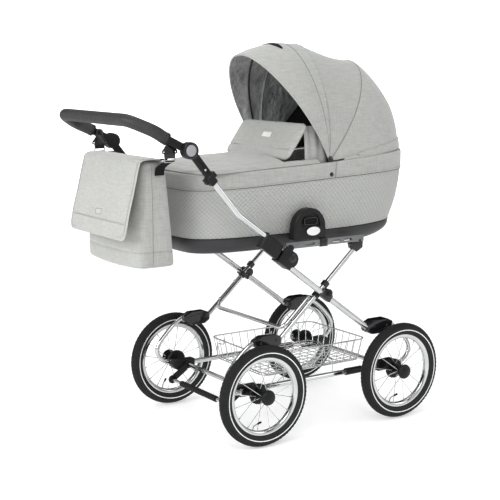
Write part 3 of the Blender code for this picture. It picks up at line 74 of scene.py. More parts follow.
class Term:
    """A socket's value that can be added, multiplied and compared."""

    def __init__(self, graph, socket):
        self.graph = graph
        self.socket = socket

    __add__ = __radd__ = maths("ADD")
    __sub__ = maths("SUBTRACT")
    __rsub__ = maths("SUBTRACT", swapped=True)
    __mul__ = __rmul__ = maths("MULTIPLY")
    __truediv__ = maths("DIVIDE")
    __pow__ = maths("POWER")
    __lt__ = maths("LESS_THAN")
    sine = maths("SINE")
    size = maths("ABSOLUTE")
    part = maths("FRACT")
    at_most = maths("MINIMUM")
    at_least = maths("MAXIMUM")


class Graph:
    """The node tree of a material or of the world."""

    def __init__(self, owner):
        owner.use_nodes = True
        self.nodes = owner.node_tree.nodes
        self.links = owner.node_tree.links

    def feed(self, socket, value):
        if isinstance(value, Term):
            self.links.new(value.socket, socket)
        else:
            socket.default_value = value

    def node(self, kind, settings=None, inputs=None, output=0):
        made = self.nodes.new(kind)
        for key, value in (settings or {}).items():
            setattr(made, key, value)
        for key, value in (inputs or {}).items():
            self.feed(made.inputs[key], value)
        return Term(self, made.outputs[output])

    def place(self, space="Object"):
        return self.node("ShaderNodeTexCoord", output=space)

    def split(self, vector):
        parts = self.node("ShaderNodeSeparateXYZ", inputs={0: vector}).socket.node.outputs
        return [Term(self, part) for part in parts]

    def noise(self, scale, detail, stretch=None, space="Object"):
        vector = self.place(space)
        if stretch:
            vector = self.node("ShaderNodeMapping", inputs={"Vector": vector, "Scale": stretch})
        return self.node("ShaderNodeTexNoise", inputs={"Vector": vector, "Scale": scale, "Detail": detail})


class Finish(Graph):
    """A material with one Principled shader and what feeds it."""

    def __init__(self, name, colour, roughness, **weights):
        self.material = bpy.data.materials.new(name)
        super().__init__(self.material)
        self.inputs = self.nodes["Principled BSDF"].inputs
        self.colour((*colour, 1))
        self.rough(roughness)
        for key, value in weights.items():
            self.feed(self.inputs[WEIGHTS[key]], value)

    def uv(self):
        return self.node("ShaderNodeUVMap", {"uv_map": "UVMap"})

    def mix(self, factor, dark, light):
        dark, light = [(*one, 1) if isinstance(one, tuple) else one for one in (dark, light)]
        inputs = {"Factor": factor, 6: dark, 7: light}
        return self.node("ShaderNodeMix", {"data_type": "RGBA"}, inputs, output=2)

    def colour(self, value):
        self.feed(self.inputs["Base Color"], value)

    def rough(self, value):
        self.feed(self.inputs["Roughness"], value)

    def bump(self, height, depth, strength):
        inputs = {"Distance": depth, "Strength": strength, "Height": height}
        self.feed(self.inputs["Normal"], self.node("ShaderNodeBump", inputs=inputs))


WEIGHTS = {"metallic": "Metallic", "coat": "Coat Weight", "sheen": "Sheen Weight",
           "specular": "Specular IOR Level", "glow": "Emission Strength"}
DULL = 0.2


def scaled(colour, factor, lift=0.0):
    return tuple(c * factor + lift for c in colour)


def woven(name, colour, dark, pitch=0.0011):
    """Melange cloth: crossed threads with slubs, paler and darker by thread."""
    f = Finish(name, colour, 0.92, sheen=0.25)
    x, y, z = [(axis * (2 * math.pi / pitch)).sine() for axis in f.split(f.place())]
    weave = (x * z + y * z + x * y) * 0.33
    warp = f.noise(260, 1.0, (1.0, 1.0, 0.10))
    weft = f.noise(260, 1.0, (0.12, 0.12, 1.0))
    cloud = f.noise(9, 3.0)
    melange = (warp * 0.5 + weft * 0.5 - 0.5) * 2.2 + 0.62 + (cloud - 0.5) * 0.35
    f.colour(f.mix(melange.at_most(1.0).at_least(0.0), dark, colour))
    f.bump(weave * 0.5 + warp * 0.5 + weft * 0.5, 0.0004, 0.5)
    return f


def quilted(name, colour, dark):
    """Soft leather-look shell stitched in small diamonds; the UV map is in metres."""
    f = Finish(name, colour, 0.55, coat=0.05)
    u, v, _ = f.split(f.uv())
    a, b = [((line / QUILT_CELL).part() - 0.5).size() * 2 for line in (u + v, u - v)]
    puff = (1 - a ** 6) * (1 - b ** 6)
    grain = f.noise(900, 2.0)
    cloud = f.noise(7, 2.0)
    # The colour is darker along the stitched lines between the puffs: painted shade in the quilting's
    # hollows; the cloud varies the tone at random.
    f.colour(f.mix((puff * 0.55 + 0.45 + (cloud - 0.5) * 0.12).at_most(1.0), dark, colour))
    f.rough(0.5 + grain * 0.15)
    f.bump(puff + grain * 0.06, 0.0026, 0.9)
    return f


def plastic(name, colour, roughness, grain=0.15, coat=0.0):
    f = Finish(name, colour, roughness, coat=coat, specular=DULL)
    fine = f.noise(1400, 2.0)
    wear = f.noise(30, 4.0)
    f.rough(roughness + (wear - 0.5) * grain)
    f.colour(f.mix(wear, scaled(colour, 0.85), scaled(colour, 1.2, 0.001)))
    f.bump(fine, 0.0001, 0.35)
    return f


def chrome(name):
    f = Finish(name, (0.83, 0.835, 0.84), 0.08, metallic=1.0)
    smear = f.noise(14, 4.0)
    specks = f.noise(420, 1.0)
    f.rough(0.05 + smear * 0.10)
    f.colour(f.mix(smear, (0.46, 0.465, 0.47), (0.66, 0.665, 0.67)))
    f.bump(specks, 0.00003, 0.2)
    return f


def strap_steel(name, tone):
    f = Finish(name, (0.60, 0.61, 0.62), 0.3, metallic=1.0)
    brushed = f.noise(300, 2.0, (0.04, 1.0, 1.0))
    f.rough(0.2 + brushed * 0.25)
    f.colour(f.mix(brushed, scaled((0.45, 0.46, 0.47), tone), scaled((0.74, 0.75, 0.76), tone)))
    f.bump(brushed, 0.0001, 0.3)
    return f


def tyre_rubber(name):
    """Black rubber with a white ring on both side walls; U runs round the wheel and V round the section."""
    f = Finish(name, (0.018, 0.018, 0.019), 0.72, specular=DULL)
    u, v, _ = f.split(f.uv())
    section = (v * 2 - 1).size()
    ring = (section - RING_PLACE).size() < RING_HALF
    dust = f.noise(60, 4.0)
    crown = section < TREAD_EDGE
    cells = ((u * 132 + section * 5).part() - 0.5).size() * 2
    rows = ((section * 13).part() - 0.5).size() * 2
    gap = (cells ** 6).at_least(rows ** 6) * crown
    # The near-black colour in the gaps between the tread blocks is painted shade in the grooves; the dust
    # noise varies the tone at random.
    rubber = f.mix(gap + dust * 0.25, (0.020, 0.020, 0.021), (0.002, 0.002, 0.002))
    f.colour(f.mix(ring, rubber, (0.86, 0.86, 0.85)))
    f.rough(0.62 + dust * 0.2)
    side = (1 - crown) * ((u * 240).sine() * 0.08)
    f.bump((1 - gap) + side + f.noise(900, 1.0) * 0.05, 0.0022, 0.9)
    return f


def wrapped_leather(name):
    """Dark leather wound round the grip in narrow turns."""
    f = Finish(name, (0.022, 0.022, 0.024), 0.5, specular=0.35)
    along = f.node("ShaderNodeAttribute", {"attribute_name": "along"}, output="Fac")
    turn = ((along / WRAP_PITCH).part() - 0.5).size() * 2
    grain = f.noise(700, 3.0)
    wear = f.noise(25, 3.0)
    f.colour(f.mix(turn * 0.4 + wear * 0.6, (0.008, 0.008, 0.009), (0.036, 0.036, 0.038)))
    f.rough(0.38 + grain * 0.25)
    f.bump((1 - turn ** 4) + grain * 0.35, 0.0008, 0.7)
    return f


def lining_cloth(name, colour):
    """Thin smooth lining with soft creases."""
    f = Finish(name, colour, 0.5, sheen=0.2)
    crease = f.noise(13, 4.0, (1.8, 1.8, 0.4))
    fine = f.noise(55, 3.0, (1.0, 0.4, 1.0))
    # The colour follows the creases' height, darker in the hollows and paler on the ridges: painted shade and
    # painted highlight.
    crease_shade_and_highlight = ((crease * 0.7 + fine * 0.3 - 0.5) * 2.4 + 0.5).at_most(1.0).at_least(0.0)
    f.colour(f.mix(crease_shade_and_highlight, scaled(colour, 0.45), scaled(colour, 1.45)))
    f.rough(0.26 + fine * 0.3)
    f.bump(crease + fine * 0.5, 0.013, 0.9)
    return f


RING_PLACE = 0.52
RING_HALF = 0.022
TREAD_EDGE = 0.39
QUILT_CELL = 0.0165
WRAP_PITCH = 0.0060

LIGHT_GREY = (0.385, 0.389, 0.372)
DARK_THREAD = (0.283, 0.287, 0.273)
CLOTH = woven("melange_cloth", LIGHT_GREY, DARK_THREAD)
SHELL = quilted("quilted_shell", (0.415, 0.42, 0.405), (0.33, 0.335, 0.323))
LINING = lining_cloth("grey_lining", (0.42, 0.425, 0.425))
# A darker copy of the grey lining, used under the hood's top panel and on its back bow: painted shade.
PAINTED_SHADE_LINING = lining_cloth("painted_shade_lining", (0.27, 0.275, 0.275))
INSIDE = lining_cloth("cot_lining", (0.30, 0.30, 0.295))
BLACK_CLOTH = lining_cloth("black_lining", (0.006, 0.006, 0.006))
CHROME = chrome("chrome")
STRAP = strap_steel("strap_steel", 0.34)
GLOSS = plastic("gloss_black", (0.008, 0.008, 0.009), 0.14, 0.08, coat=0.5)
BLACK = plastic("black_plastic", (0.008, 0.008, 0.009), 0.38)
BASE = plastic("base_plastic", (0.038, 0.038, 0.040), 0.45)
CAST = plastic("black_casting", (0.009, 0.009, 0.010), 0.32)
BUTTON = plastic("grey_button", (0.30, 0.30, 0.31), 0.35)
BADGE = plastic("pale_badge", (0.72, 0.72, 0.71), 0.3)
RUBBER = plastic("black_rubber", (0.008, 0.008, 0.008), 0.7)
TYRE = tyre_rubber("tyre")
LEATHER = wrapped_leather("wrapped_leather")
WEBBING = plastic("black_webbing", (0.006, 0.006, 0.006), 0.85)
BRASS = plastic("dull_brass", (0.30, 0.26, 0.15), 0.35)
THREAD = plastic("grey_thread", (0.20, 0.203, 0.195), 0.8)
# Dark colour for seam lines; on the line under the band's hem and on the flap's stitched groove it is painted
# shade.
SHADE = plastic("dark_seam_and_shade", (0.10, 0.10, 0.098), 0.85)
BLACK_PIPING = plastic("black_piping", (0.010, 0.010, 0.010), 0.6)
PALE_TAG = plastic("pale_tag", (0.66, 0.66, 0.64), 0.6)
TAG = plastic("grey_tag", (0.40, 0.40, 0.385), 0.6)


# Camera, floor and light

CAMERA_PLACE = Vector((-2.3937 + ORIGIN_X, -3.3599, 1.2694))
CAMERA_YAW = 56.2196
CAMERA_PITCH = -9.3991
LENS = 84.50
SENSOR = 36.0
AHEAD = Vector((math.cos(math.radians(CAMERA_YAW)), math.sin(math.radians(CAMERA_YAW)), 0))
WORLD_LIGHT = 0.80
PANEL_SCALE = 2.6
PANEL_STOPS = [(0.44, 0.03), (0.54, 1.0)]
HORIZON_BAND = 0.20
DARK_WEDGE = 0.86
LAMP_AIM = Vector((0.1, 0, 0.6))
LAMPS = [
    ("key", (-1.8, -2.8, 3.4), 2.2, 66),
    ("left", (-3.4, -0.4, 1.9), 1.8, 80),
    ("fill", (2.6, -2.2, 2.0), 2.0, 20),
    ("top", (0.2, 0.4, 3.6), 3.0, 40),
]
FLOOR_SIZE, FLOOR_GLOW = 40, 0.36
BACKDROP_SIZE, BACKDROP_GLOW, BACKDROP_DISTANCE = 12, 1.0, 11.0


def camera():
    data = bpy.data.cameras.new("camera")
    data.lens = LENS
    data.sensor_width = SENSOR
    eye = add(data)
    eye.location = CAMERA_PLACE
    eye.rotation_euler = (math.radians(90 + CAMERA_PITCH), 0, math.radians(CAMERA_YAW - 90))
    bpy.context.scene.camera = eye


def lamp(name, place, size, power):
    data = bpy.data.lights.new(name, "AREA")
    data.shape = "RECTANGLE"
    data.size = data.size_y = size
    data.energy = power
    obj = add(data)
    obj.location = place
    obj.rotation_euler = (LAMP_AIM - Vector(place)).to_track_quat("-Z", "Y").to_euler()


def sky():
    """Bright and dark panels, a bright band at the horizon and a dark wedge behind the object."""
    world = bpy.data.worlds.new("studio")
    bpy.context.scene.world = world
    graph = Graph(world)
    panels = graph.node("ShaderNodeValToRGB", inputs={0: graph.noise(PANEL_SCALE, 0.0, space="Generated")})
    for stop, (position, grey) in zip(panels.socket.node.color_ramp.elements, PANEL_STOPS):
        stop.position = position
        stop.color = (grey, grey, grey, 1)
    place = graph.place("Generated")
    level = graph.split(place)[2].size() < HORIZON_BAND
    behind = graph.node("ShaderNodeVectorMath", {"operation": "DOT_PRODUCT"}, {0: place, 1: AHEAD}, "Value")
    background = graph.nodes["Background"].inputs
    graph.feed(background["Strength"], WORLD_LIGHT)
    graph.feed(background["Color"], level.at_least(panels) * (behind < DARK_WEDGE))


def glowing_plane(name, size, place, rotation, glow):
    bpy.ops.mesh.primitive_plane_add(size=size, location=place, rotation=rotation)
    plane = bpy.context.active_object
    plane.name = name
    paint = Finish(f"{name}_white", (0.80, 0.80, 0.80), 0.8, glow=glow)
    paint.feed(paint.inputs["Emission Color"], (1, 1, 1, 1))
    plane.data.materials.append(paint.material)
    return plane


def studio():
    """The backdrop stays out of reflections, so that the chrome mirrors the sky's panels."""
    sky()
    for settings in LAMPS:
        lamp(*settings)
    glowing_plane("floor", FLOOR_SIZE, (0, 0, -0.001), (0, 0, 0), FLOOR_GLOW)
    backdrop = glowing_plane("backdrop", BACKDROP_SIZE, CAMERA_PLACE + AHEAD * BACKDROP_DISTANCE,
                             (math.radians(90), 0, math.radians(CAMERA_YAW - 90)), BACKDROP_GLOW)
    backdrop.visible_glossy = False
    bpy.context.scene.view_settings.view_transform = "Standard"


# Modelling tools

def take(obj):
    """Selects one object alone and makes it active."""
    bpy.ops.object.select_all(action="DESELECT")
    obj.select_set(True)
    bpy.context.view_layer.objects.active = obj
    return obj


def settle(obj):
    """Applies the place and the modifiers, so that the mesh alone holds the shape."""
    take(obj)
    bpy.ops.object.transform_apply(location=True, rotation=True, scale=True)
    for modifier in list(obj.modifiers):
        bpy.ops.object.modifier_apply(modifier=modifier.name)
    return obj


def modify(obj, kind, **settings):
    modifier = obj.modifiers.new(kind.title(), kind)
    for key, value in settings.items():
        setattr(modifier, key, value)
    return obj


def edit(obj, *steps):
    """Runs edit-mode operators on all of the object."""
    take(obj)
    bpy.ops.object.mode_set(mode="EDIT")
    bpy.ops.mesh.select_all(action="SELECT")
    for step, settings in steps:
        step(**settings)
    bpy.ops.object.mode_set(mode="OBJECT")
    return obj


def outward(obj):
    return edit(obj, (bpy.ops.mesh.remove_doubles, {"threshold": 0.00002}),
                (bpy.ops.mesh.normals_make_consistent, {"inside": False}))


def join(*shapes):
    take(shapes[0])
    for shape in shapes[1:]:
        shape.select_set(True)
    if len(shapes) > 1:
        bpy.ops.object.join()
    return bpy.context.active_object


def round_edges(obj, width, segments=3, angle=35):
    modify(obj, "BEVEL", width=width, segments=segments, limit_method="ANGLE",
           angle_limit=math.radians(angle), harden_normals=False)
    return settle(obj)


def smooth(obj, angle=35):
    take(obj)
    bpy.ops.object.shade_smooth_by_angle(angle=math.radians(angle))
    return obj


def block(x0, x1, y0, y1, z0, z1, bevel=0.0, tilt=0.0, about=(0, 0)):
    """A box with rounded edges; tilt turns it about Y at (x, z), nose up."""
    bpy.ops.mesh.primitive_cube_add(size=1, location=((x0 + x1) / 2, (y0 + y1) / 2, (z0 + z1) / 2))
    obj = bpy.context.active_object
    obj.scale = (abs(x1 - x0), abs(y1 - y0), abs(z1 - z0))
    settle(obj)
    if bevel:
        round_edges(obj, bevel)
    if tilt:
        turn(obj, tilt, about)
    return obj


def turn(obj, tilt, about):
    centre = Matrix.Translation((about[0], 0, about[1]))
    obj.data.transform(centre @ Matrix.Rotation(-tilt, 4, "Y") @ centre.inverted())
    return obj


def disc(x, z, y0, y1, radius, sides=32, bevel=0.0):
    """A round pin along Y between y0 and y1."""
    bpy.ops.mesh.primitive_cylinder_add(vertices=sides, radius=radius, depth=abs(y1 - y0))
    obj = bpy.context.active_object
    if bevel:
        round_edges(obj, bevel, 2)
    upright = Matrix.Rotation(math.radians(-90 if y1 > y0 else 90), 4, "X")
    obj.data.transform(Matrix.Translation((x, (y0 + y1) / 2, z)) @ upright)
    return obj


def prism(outline, y0, y1):
    """A flat outline of (x, z) points with a thickness along Y."""
    obj = add_mesh("outline", [(x, min(y0, y1), z) for x, z in outline], faces=[range(len(outline))])
    thickness = {"value": (0, abs(y1 - y0), 0)}
    return edit(obj, (bpy.ops.mesh.extrude_region_move, {"TRANSFORM_OT_translate": thickness}),
                (bpy.ops.mesh.select_all, {"action": "SELECT"}),
                (bpy.ops.mesh.normals_make_consistent, {"inside": False}))


def rounded(points, radius, steps=8):
    """The polyline with each inner corner replaced by a smooth bend."""
    points = [Vector(p) for p in points]
    path = [points[0]]
    for before, corner, after in zip(points, points[1:], points[2:]):
        a = (before - corner).normalized()
        b = (after - corner).normalized()
        half = a.angle(b) / 2
        reach = min(radius / math.tan(half), (before - corner).length * 0.49, (after - corner).length * 0.49)
        start, end = corner + a * reach, corner + b * reach
        for i in range(steps + 1):
            t = i / steps
            path.append(start * (1 - t) ** 2 + corner * 2 * t * (1 - t) + end * t ** 2)
    path.append(points[-1])
    return path


def distances(points, closed=False):
    reached = [0.0]
    row = [Vector(p) for p in points]
    for a, b in zip(row, row[1:] + (row[:1] if closed else [])):
        reached.append(reached[-1] + (b - a).length)
    return reached


def tube(points, radius, detail=4, closed=False, along=False):
    """A round bar along the points, made a mesh; along stores each point's distance from the start."""
    curve = bpy.data.curves.new("path", "CURVE")
    curve.dimensions = "3D"
    curve.bevel_depth = radius
    curve.bevel_resolution = detail
    curve.use_fill_caps = True
    spline = curve.splines.new("POLY")
    spline.points.add(len(points) - 1)
    for point, place in zip(spline.points, points):
        point.co = (*place, 1)
    spline.use_cyclic_u = closed
    take(add(curve))
    bpy.ops.object.convert(target="MESH")
    obj = outward(bpy.context.active_object)
    if along:
        store_distance(obj, [Vector(p) for p in points])
    return obj


def store_distance(obj, path):
    reached = distances(path)
    near = nearest(path)
    values = obj.data.attributes.new("along", "FLOAT", "POINT").data
    for vertex in obj.data.vertices:
        values[vertex.index].value = reached[near.find(vertex.co)[1]]


def nearest(points):
    tree = kdtree.KDTree(len(points))
    for i, point in enumerate(points):
        tree.insert(point, i)
    tree.balance()
    return tree


def turned(profile, x, y, z, side=1, steps=72):
    """A turned piece about a Y axis through (x, z); the profile is (radius, outward distance from y)."""
    steps_along = [(i, i + 1) for i in range(len(profile) - 1)]
    obj = add_mesh("profile", [(radius, out, 0) for radius, out in profile], steps_along)
    modify(obj, "SCREW", axis="Y", steps=steps, render_steps=steps, use_merge_vertices=True,
           merge_threshold=0.00001)
    settle(obj)
    obj.data.transform(Matrix.Translation((x, y, z)) @ Matrix.Scale(side, 4, (0, 1, 0)))
    return outward(obj)


def facing(obj, inside):
    """Turns an open sheet so that its faces look away from the point inside."""
    mesh = obj.data
    total = sum(p.area * p.normal.dot(p.center - Vector(inside)) for p in mesh.polygons)
    if total < 0:
        edit(obj, (bpy.ops.mesh.flip_normals, {}))
    return obj


def carve(obj, *cutters):
    """Cuts the cutters out of the object and removes them."""
    for cutter in cutters:
        modify(obj, "BOOLEAN", object=cutter, operation="DIFFERENCE", solver="EXACT")
    settle(obj)
    for cutter in cutters:
        bpy.data.objects.remove(cutter)
    return obj


def copy_of(node, bevel, segments=3, angle=35):
    """The frame's own solid, merged and given rounded edges."""
    obj = add(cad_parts[node].data.copy())
    obj.data.transform(Matrix.Translation((-ORIGIN_X, 0, 0)))
    obj.data.materials.clear()
    edit(obj, (bpy.ops.mesh.remove_doubles, {"threshold": 0.00001}),
         (bpy.ops.mesh.dissolve_limited, {"angle_limit": math.radians(0.6)}))
    return round_edges(obj, bevel, segments, angle)


def piece(obj, name, finish, body, nodes=(), slot=None, angle=35):
    """Names a finished piece, gives it its finish and hangs it on its body."""
    settle(obj)
    obj.data.transform(Matrix.Translation((ORIGIN_X, 0, 0)))
    obj.name = obj.data.name = name
    obj.data.materials.clear()
    for one in finish if isinstance(finish, list) else [finish]:
        obj.data.materials.append(one.material)
    smooth(obj, angle)
    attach(obj, body)
    if nodes:
        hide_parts(*nodes)
    return obj


def dressed(node, name, finish, body, slot, bevel, *extras, angle=35):
    """The frame's own solid with rounded edges, joined with small extras to one piece."""
    return piece(join(copy_of(node, bevel), *extras), name, finish, body, [node], slot, angle)


def superellipse(a, power):
    c, s = math.cos(a), math.sin(a)
    return math.copysign(abs(c) ** (2 / power), c), math.copysign(abs(s) ** (2 / power), s)


camera()
studio()

# Wheels

WHEELBASE = 0.583
WHEEL_Y = 0.2977
WHEEL_RADIUS = 0.170
TYRE_SECTION = 0.0215
SPOKES = 16
RIM_PROFILE = [
    (0.1312, 0.0112), (0.1322, 0.0102), (0.1312, 0.0092), (0.1275, 0.0086), (0.1262, 0.0), (0.1275, -0.0086),
    (0.1312, -0.0092), (0.1322, -0.0102), (0.1312, -0.0112), (0.1290, -0.0108), (0.1235, -0.0104),
    (0.1185, -0.0078), (0.1165, -0.0040), (0.1160, 0.0), (0.1165, 0.0040), (0.1185, 0.0078), (0.1235, 0.0104),
    (0.1290, 0.0108), (0.1312, 0.0112),
]
HUB_PROFILE = [
    (0.0001, 0.0412), (0.0090, 0.0405), (0.0180, 0.0378), (0.0240, 0.0330), (0.0258, 0.0285),
    (0.0258, 0.0262), (0.0175, 0.0255), (0.0165, 0.0200), (0.0210, 0.0180), (0.0210, 0.0150),
    (0.0140, 0.0135), (0.0130, -0.0130), (0.0210, -0.0145), (0.0210, -0.0175), (0.0160, -0.0190),
    (0.0160, -0.0235), (0.0330, -0.0238),
    (0.0338, -0.0250), (0.0338, -0.0340), (0.0325, -0.0350), (0.0075, -0.0350), (0.0068, -0.0340),
    (0.0068, 0.0230), (0.0001, 0.0240),
]


def wheel(end, side_name):
    side = SIDES[side_name]
    x, y, z = ENDS[end] * WHEELBASE / 2, side * WHEEL_Y, WHEEL_RADIUS
    body = f"wheel_{end}_{side_name}"
    centre = WHEEL_RADIUS - TYRE_SECTION
    bpy.ops.mesh.primitive_torus_add(
        major_segments=144, minor_segments=36, major_radius=centre, minor_radius=TYRE_SECTION,
        generate_uvs=True)
    rubber = bpy.context.active_object
    rubber.data.uv_layers.active.name = "UVMap"
    section_uv(rubber, centre)
    tread(rubber, centre)
    rubber.data.transform(Matrix.Translation((x, y, z)) @ Matrix.Rotation(math.radians(90), 4, "X"))
    piece(rubber, f"tyre_skin_{end}_{side_name}", TYRE, body, [f"tyre_{end}_{side_name}"], "tyre", angle=50)

    rim = turned(RIM_PROFILE, x, y, z, side)
    spokes = []
    for i in range(SPOKES):
        a = 2 * math.pi * (i + 0.5) / SPOKES
        flange = side * 0.0165 * (-1) ** i
        lean = a + 0.30 * (1 if (i // 2) % 2 else -1)
        start = (x + 0.0195 * math.cos(lean), y + flange, z + 0.0195 * math.sin(lean))
        stop = (x + 0.1175 * math.cos(a), y + flange * 0.12, z + 0.1175 * math.sin(a))
        spokes.append(tube([start, stop], 0.0011, 2))
        nipple = Vector(stop).lerp(Vector(start), 0.09)
        spokes.append(tube([nipple, stop], 0.0020, 2))
    piece(join(rim, *spokes), f"rim_{end}_{side_name}", CHROME, body, [f"wheel_{end}_{side_name}"], "chrome")

    hub = turned(HUB_PROFILE, x, y, z, side, 48)
    ribs = []
    for i in range(20):
        a = 2 * math.pi * i / 20
        rib = block(0.0325, 0.0352, -0.0018, 0.0018, -0.0045, 0.0045, 0.0008)
        rib.data.transform(Matrix.Translation((x, y - side * 0.0295, z)) @ Matrix.Rotation(-a, 4, "Y")
                           @ Matrix.Rotation(math.radians(90), 4, "X"))
        ribs.append(rib)
    piece(join(hub, *ribs), f"hub_{end}_{side_name}", BLACK, body)

    a = math.radians(-112)
    foot = Vector((x + 0.117 * math.cos(a), y, z + 0.117 * math.sin(a)))
    knee = foot + Vector((0.004, side * 0.002, 0.014))
    tip = knee + Vector((0.014, side * 0.010, 0.010))
    stem = tube(rounded([foot, knee, tip], 0.008, 5), 0.0021, 3)
    piece(stem, f"valve_{end}_{side_name}", BRASS, body)
    cap = [tip - Vector((0.004, side * 0.003, 0.003)), tip + Vector((0.006, side * 0.004, 0.004))]
    piece(tube(cap, 0.0034, 3), f"valve_cap_{end}_{side_name}", RUBBER, body)


def section_uv(obj, centre):
    """V from 0 at the rim side through 0.5 on the tread back to 1, so that both side walls match."""
    layer = obj.data.uv_layers.active.data
    for polygon in obj.data.polygons:
        angles = []
        for index in polygon.loop_indices:
            co = obj.data.vertices[obj.data.loops[index].vertex_index].co
            round_place = math.atan2(co.y, co.x) / (2 * math.pi)
            out = math.hypot(co.x, co.y) - centre
            angles.append((index, round_place, math.atan2(co.z, out) / math.pi))
        base = angles[0][1]
        for index, place, section in angles:
            if place - base > 0.5:
                place -= 1
            elif base - place > 0.5:
                place += 1
            first = angles[0][2]
            if section - first > 1:
                section -= 2
            elif first - section > 1:
                section += 2
            layer[index].uv = (place, section * 0.5 + 0.5)


def tread(obj, centre):
    """Cuts the tread's blocks and its grooves into the crown of the tyre."""
    for vertex in obj.data.vertices:
        co = vertex.co
        out = math.hypot(co.x, co.y) - centre
        section = abs(math.degrees(math.atan2(co.z, out)))
        place = math.degrees(math.atan2(co.y, co.x))
        if section < 62:
            block_edge = (round(place / 2.5) % 2 == 0) and section > 14
            groove = section < 6 or 24 < section < 31
            depth = 0.0012 if (block_edge or groove) else 0.0
            shrink = 1 - depth / TYRE_SECTION
            radial = Vector((co.x, co.y, 0)).normalized() * centre
            vertex.co = radial + (co - radial) * shrink


for end in ENDS:
    for side_name in SIDES:
        wheel(end, side_name)

# Chassis, seen from the side

PIVOT_X, PIVOT_Z = 0.0, 0.473
FRONT_LEG_ANGLE, REAR_LEG_ANGLE = math.radians(36.4), math.radians(41.6)
FRONT_LEG_DROP, REAR_LEG_RISE = 0.0089, 0.0135
FRONT_LEG_LOW, FRONT_LEG_HIGH = 0.226, 0.250
REAR_LEG_LOW, REAR_LEG_HIGH = 0.226, 0.206
FRONT_LEG_RADIUS, REAR_LEG_RADIUS = 0.010, 0.008
FRONT_LEG_Y, REAR_LEG_Y = 0.249, 0.228
BAIL_RADIUS, BAIL_Y = 0.007, 0.2105
BAIL_CROSS_X, BAIL_CROSS_Z, BAIL_TOP_X = -0.155, 0.362, -0.045
SPRING_RADIUS, SPRING_Y = 0.0075, 0.230
SPRING_TOP_X, SPRING_TOP_Z = 0.214, 0.340
SPRING_BACK_X, SPRING_BOLT_X, SPRING_BOLT_Z = 0.392, 0.331, 0.172
SPRING_SHAPE = [
    (0.0, 1.0), (0.253, 1.006), (0.483, 0.923), (0.663, 0.786), (0.809, 0.637), (0.933, 0.488),
    (1.0, 0.345), (0.978, 0.208), (0.899, 0.101), (0.775, 0.027),
]
RAIL_Y, RAIL_REAR_X, RAIL_RADIUS = 0.2110, 0.2600, 0.009
OUTER_RAIL_END_X, SLEEVE_START_X, SLEEVE_END_X, SLEEVE_RADIUS = 0.150, 0.116, 0.188, 0.0125
INNER_RAIL_REAR_X, INNER_RAIL_RADIUS = -0.040, 0.006
FOLD_X, FOLD_Z = -0.1616, 0.6111
STRAP_LOW, STRAP_HIGH, STRAP_THICK = 0.637, 0.659, 0.004
STRAP_MIDDLE, SLOT_HALF = (STRAP_LOW + STRAP_HIGH) / 2, (STRAP_HIGH - STRAP_LOW) * 0.18
STRAP_PIN_X, STRAP_PIN_Z = 0.150, 0.640
FRONT_STRAP_Y, REAR_STRAP_Y = 0.2395, 0.2445
GUIDE_REAR_X, GUIDE_FRONT_X = -0.0265, 0.004


def front_leg(s, n):
    """A point (x, z) s up the front leg from the scissor pivot and n above the pivot's line."""
    c, w = math.cos(FRONT_LEG_ANGLE), math.sin(FRONT_LEG_ANGLE)
    return PIVOT_X - s * c + n * w, PIVOT_Z + s * w + n * c


def rear_leg(s, n):
    c, w = math.cos(REAR_LEG_ANGLE), math.sin(REAR_LEG_ANGLE)
    return PIVOT_X + s * c - n * w, PIVOT_Z + s * w + n * c


def side_line(a, b, y):
    return [(a[0], y, a[1]), (b[0], y, b[1])]


def curve_through(points, steps=6):
    """A smooth curve through the points."""
    points = [Vector(p) for p in points]
    padded = [points[0] * 2 - points[1]] + points + [points[-1] * 2 - points[-2]]
    path = []
    for a, b, c, d in zip(padded, padded[1:], padded[2:], padded[3:]):
        for i in range(steps):
            t = i / steps
            path.append(0.5 * (2 * b + (c - a) * t + (2 * a - 5 * b + 4 * c - d) * t * t
                               + (3 * b - a - 3 * c + d) * t ** 3))
    path.append(points[-1])
    return path


def screw(x, z, y, side, radius=0.0050, rise=0.0020):
    """A domed screw head with a round socket, standing outward from y."""
    profile = [(0.0001, rise * 0.2), (radius * 0.45, rise * 0.2), (radius * 0.52, rise),
               (radius * 0.8, rise * 0.9), (radius, rise * 0.3), (radius, -rise), (0.0001, -rise)]
    return turned(profile, x, y, z, side, 24)


def rivet(x, z, y, side, radius=0.0060, rise=0.0022):
    profile = [(0.0001, rise), (radius * 0.5, rise * 0.88), (radius * 0.85, rise * 0.5), (radius, 0.0),
               (radius, -0.001), (0.0001, -0.001)]
    return turned(profile, x, y, z, side, 24)


def tilted(x, z, angle, s0, s1, n0, n1, y0, y1, bevel):
    """A rounded box along a line through (x, z) that climbs backwards at the angle."""
    return block(x - s1, x - s0, y0, y1, z + n0, z + n1, bevel, -angle, (x, z))


def legs(side_name, side):
    line = side_line(front_leg(-FRONT_LEG_LOW, -FRONT_LEG_DROP), front_leg(FRONT_LEG_HIGH, -FRONT_LEG_DROP),
                     side * FRONT_LEG_Y)
    piece(tube(line, FRONT_LEG_RADIUS, 9), f"front_leg_tube_{side_name}", CHROME, "front_legs",
          [f"front_leg_{side_name}"], "chrome")

    inner, outer = REAR_LEG_Y - 0.0096, REAR_LEG_Y + 0.0096
    low, high = PIVOT_Z + REAR_LEG_RISE - 0.0106, PIVOT_Z + REAR_LEG_RISE + 0.0106
    parts = [block(PIVOT_X + s0, PIVOT_X + s1, side * inner, side * outer, low, high, 0.0025, REAR_LEG_ANGLE,
                   (PIVOT_X, PIVOT_Z)) for s0, s1 in ((-0.036, -0.0145), (0.0145, 0.036))]
    parts.append(disc(PIVOT_X, PIVOT_Z, side * (inner - 0.0005), side * (inner + 0.004), 0.0150, 40, 0.001))
    piece(join(*parts), f"rear_leg_clamp_{side_name}", GLOSS, "rear_legs")


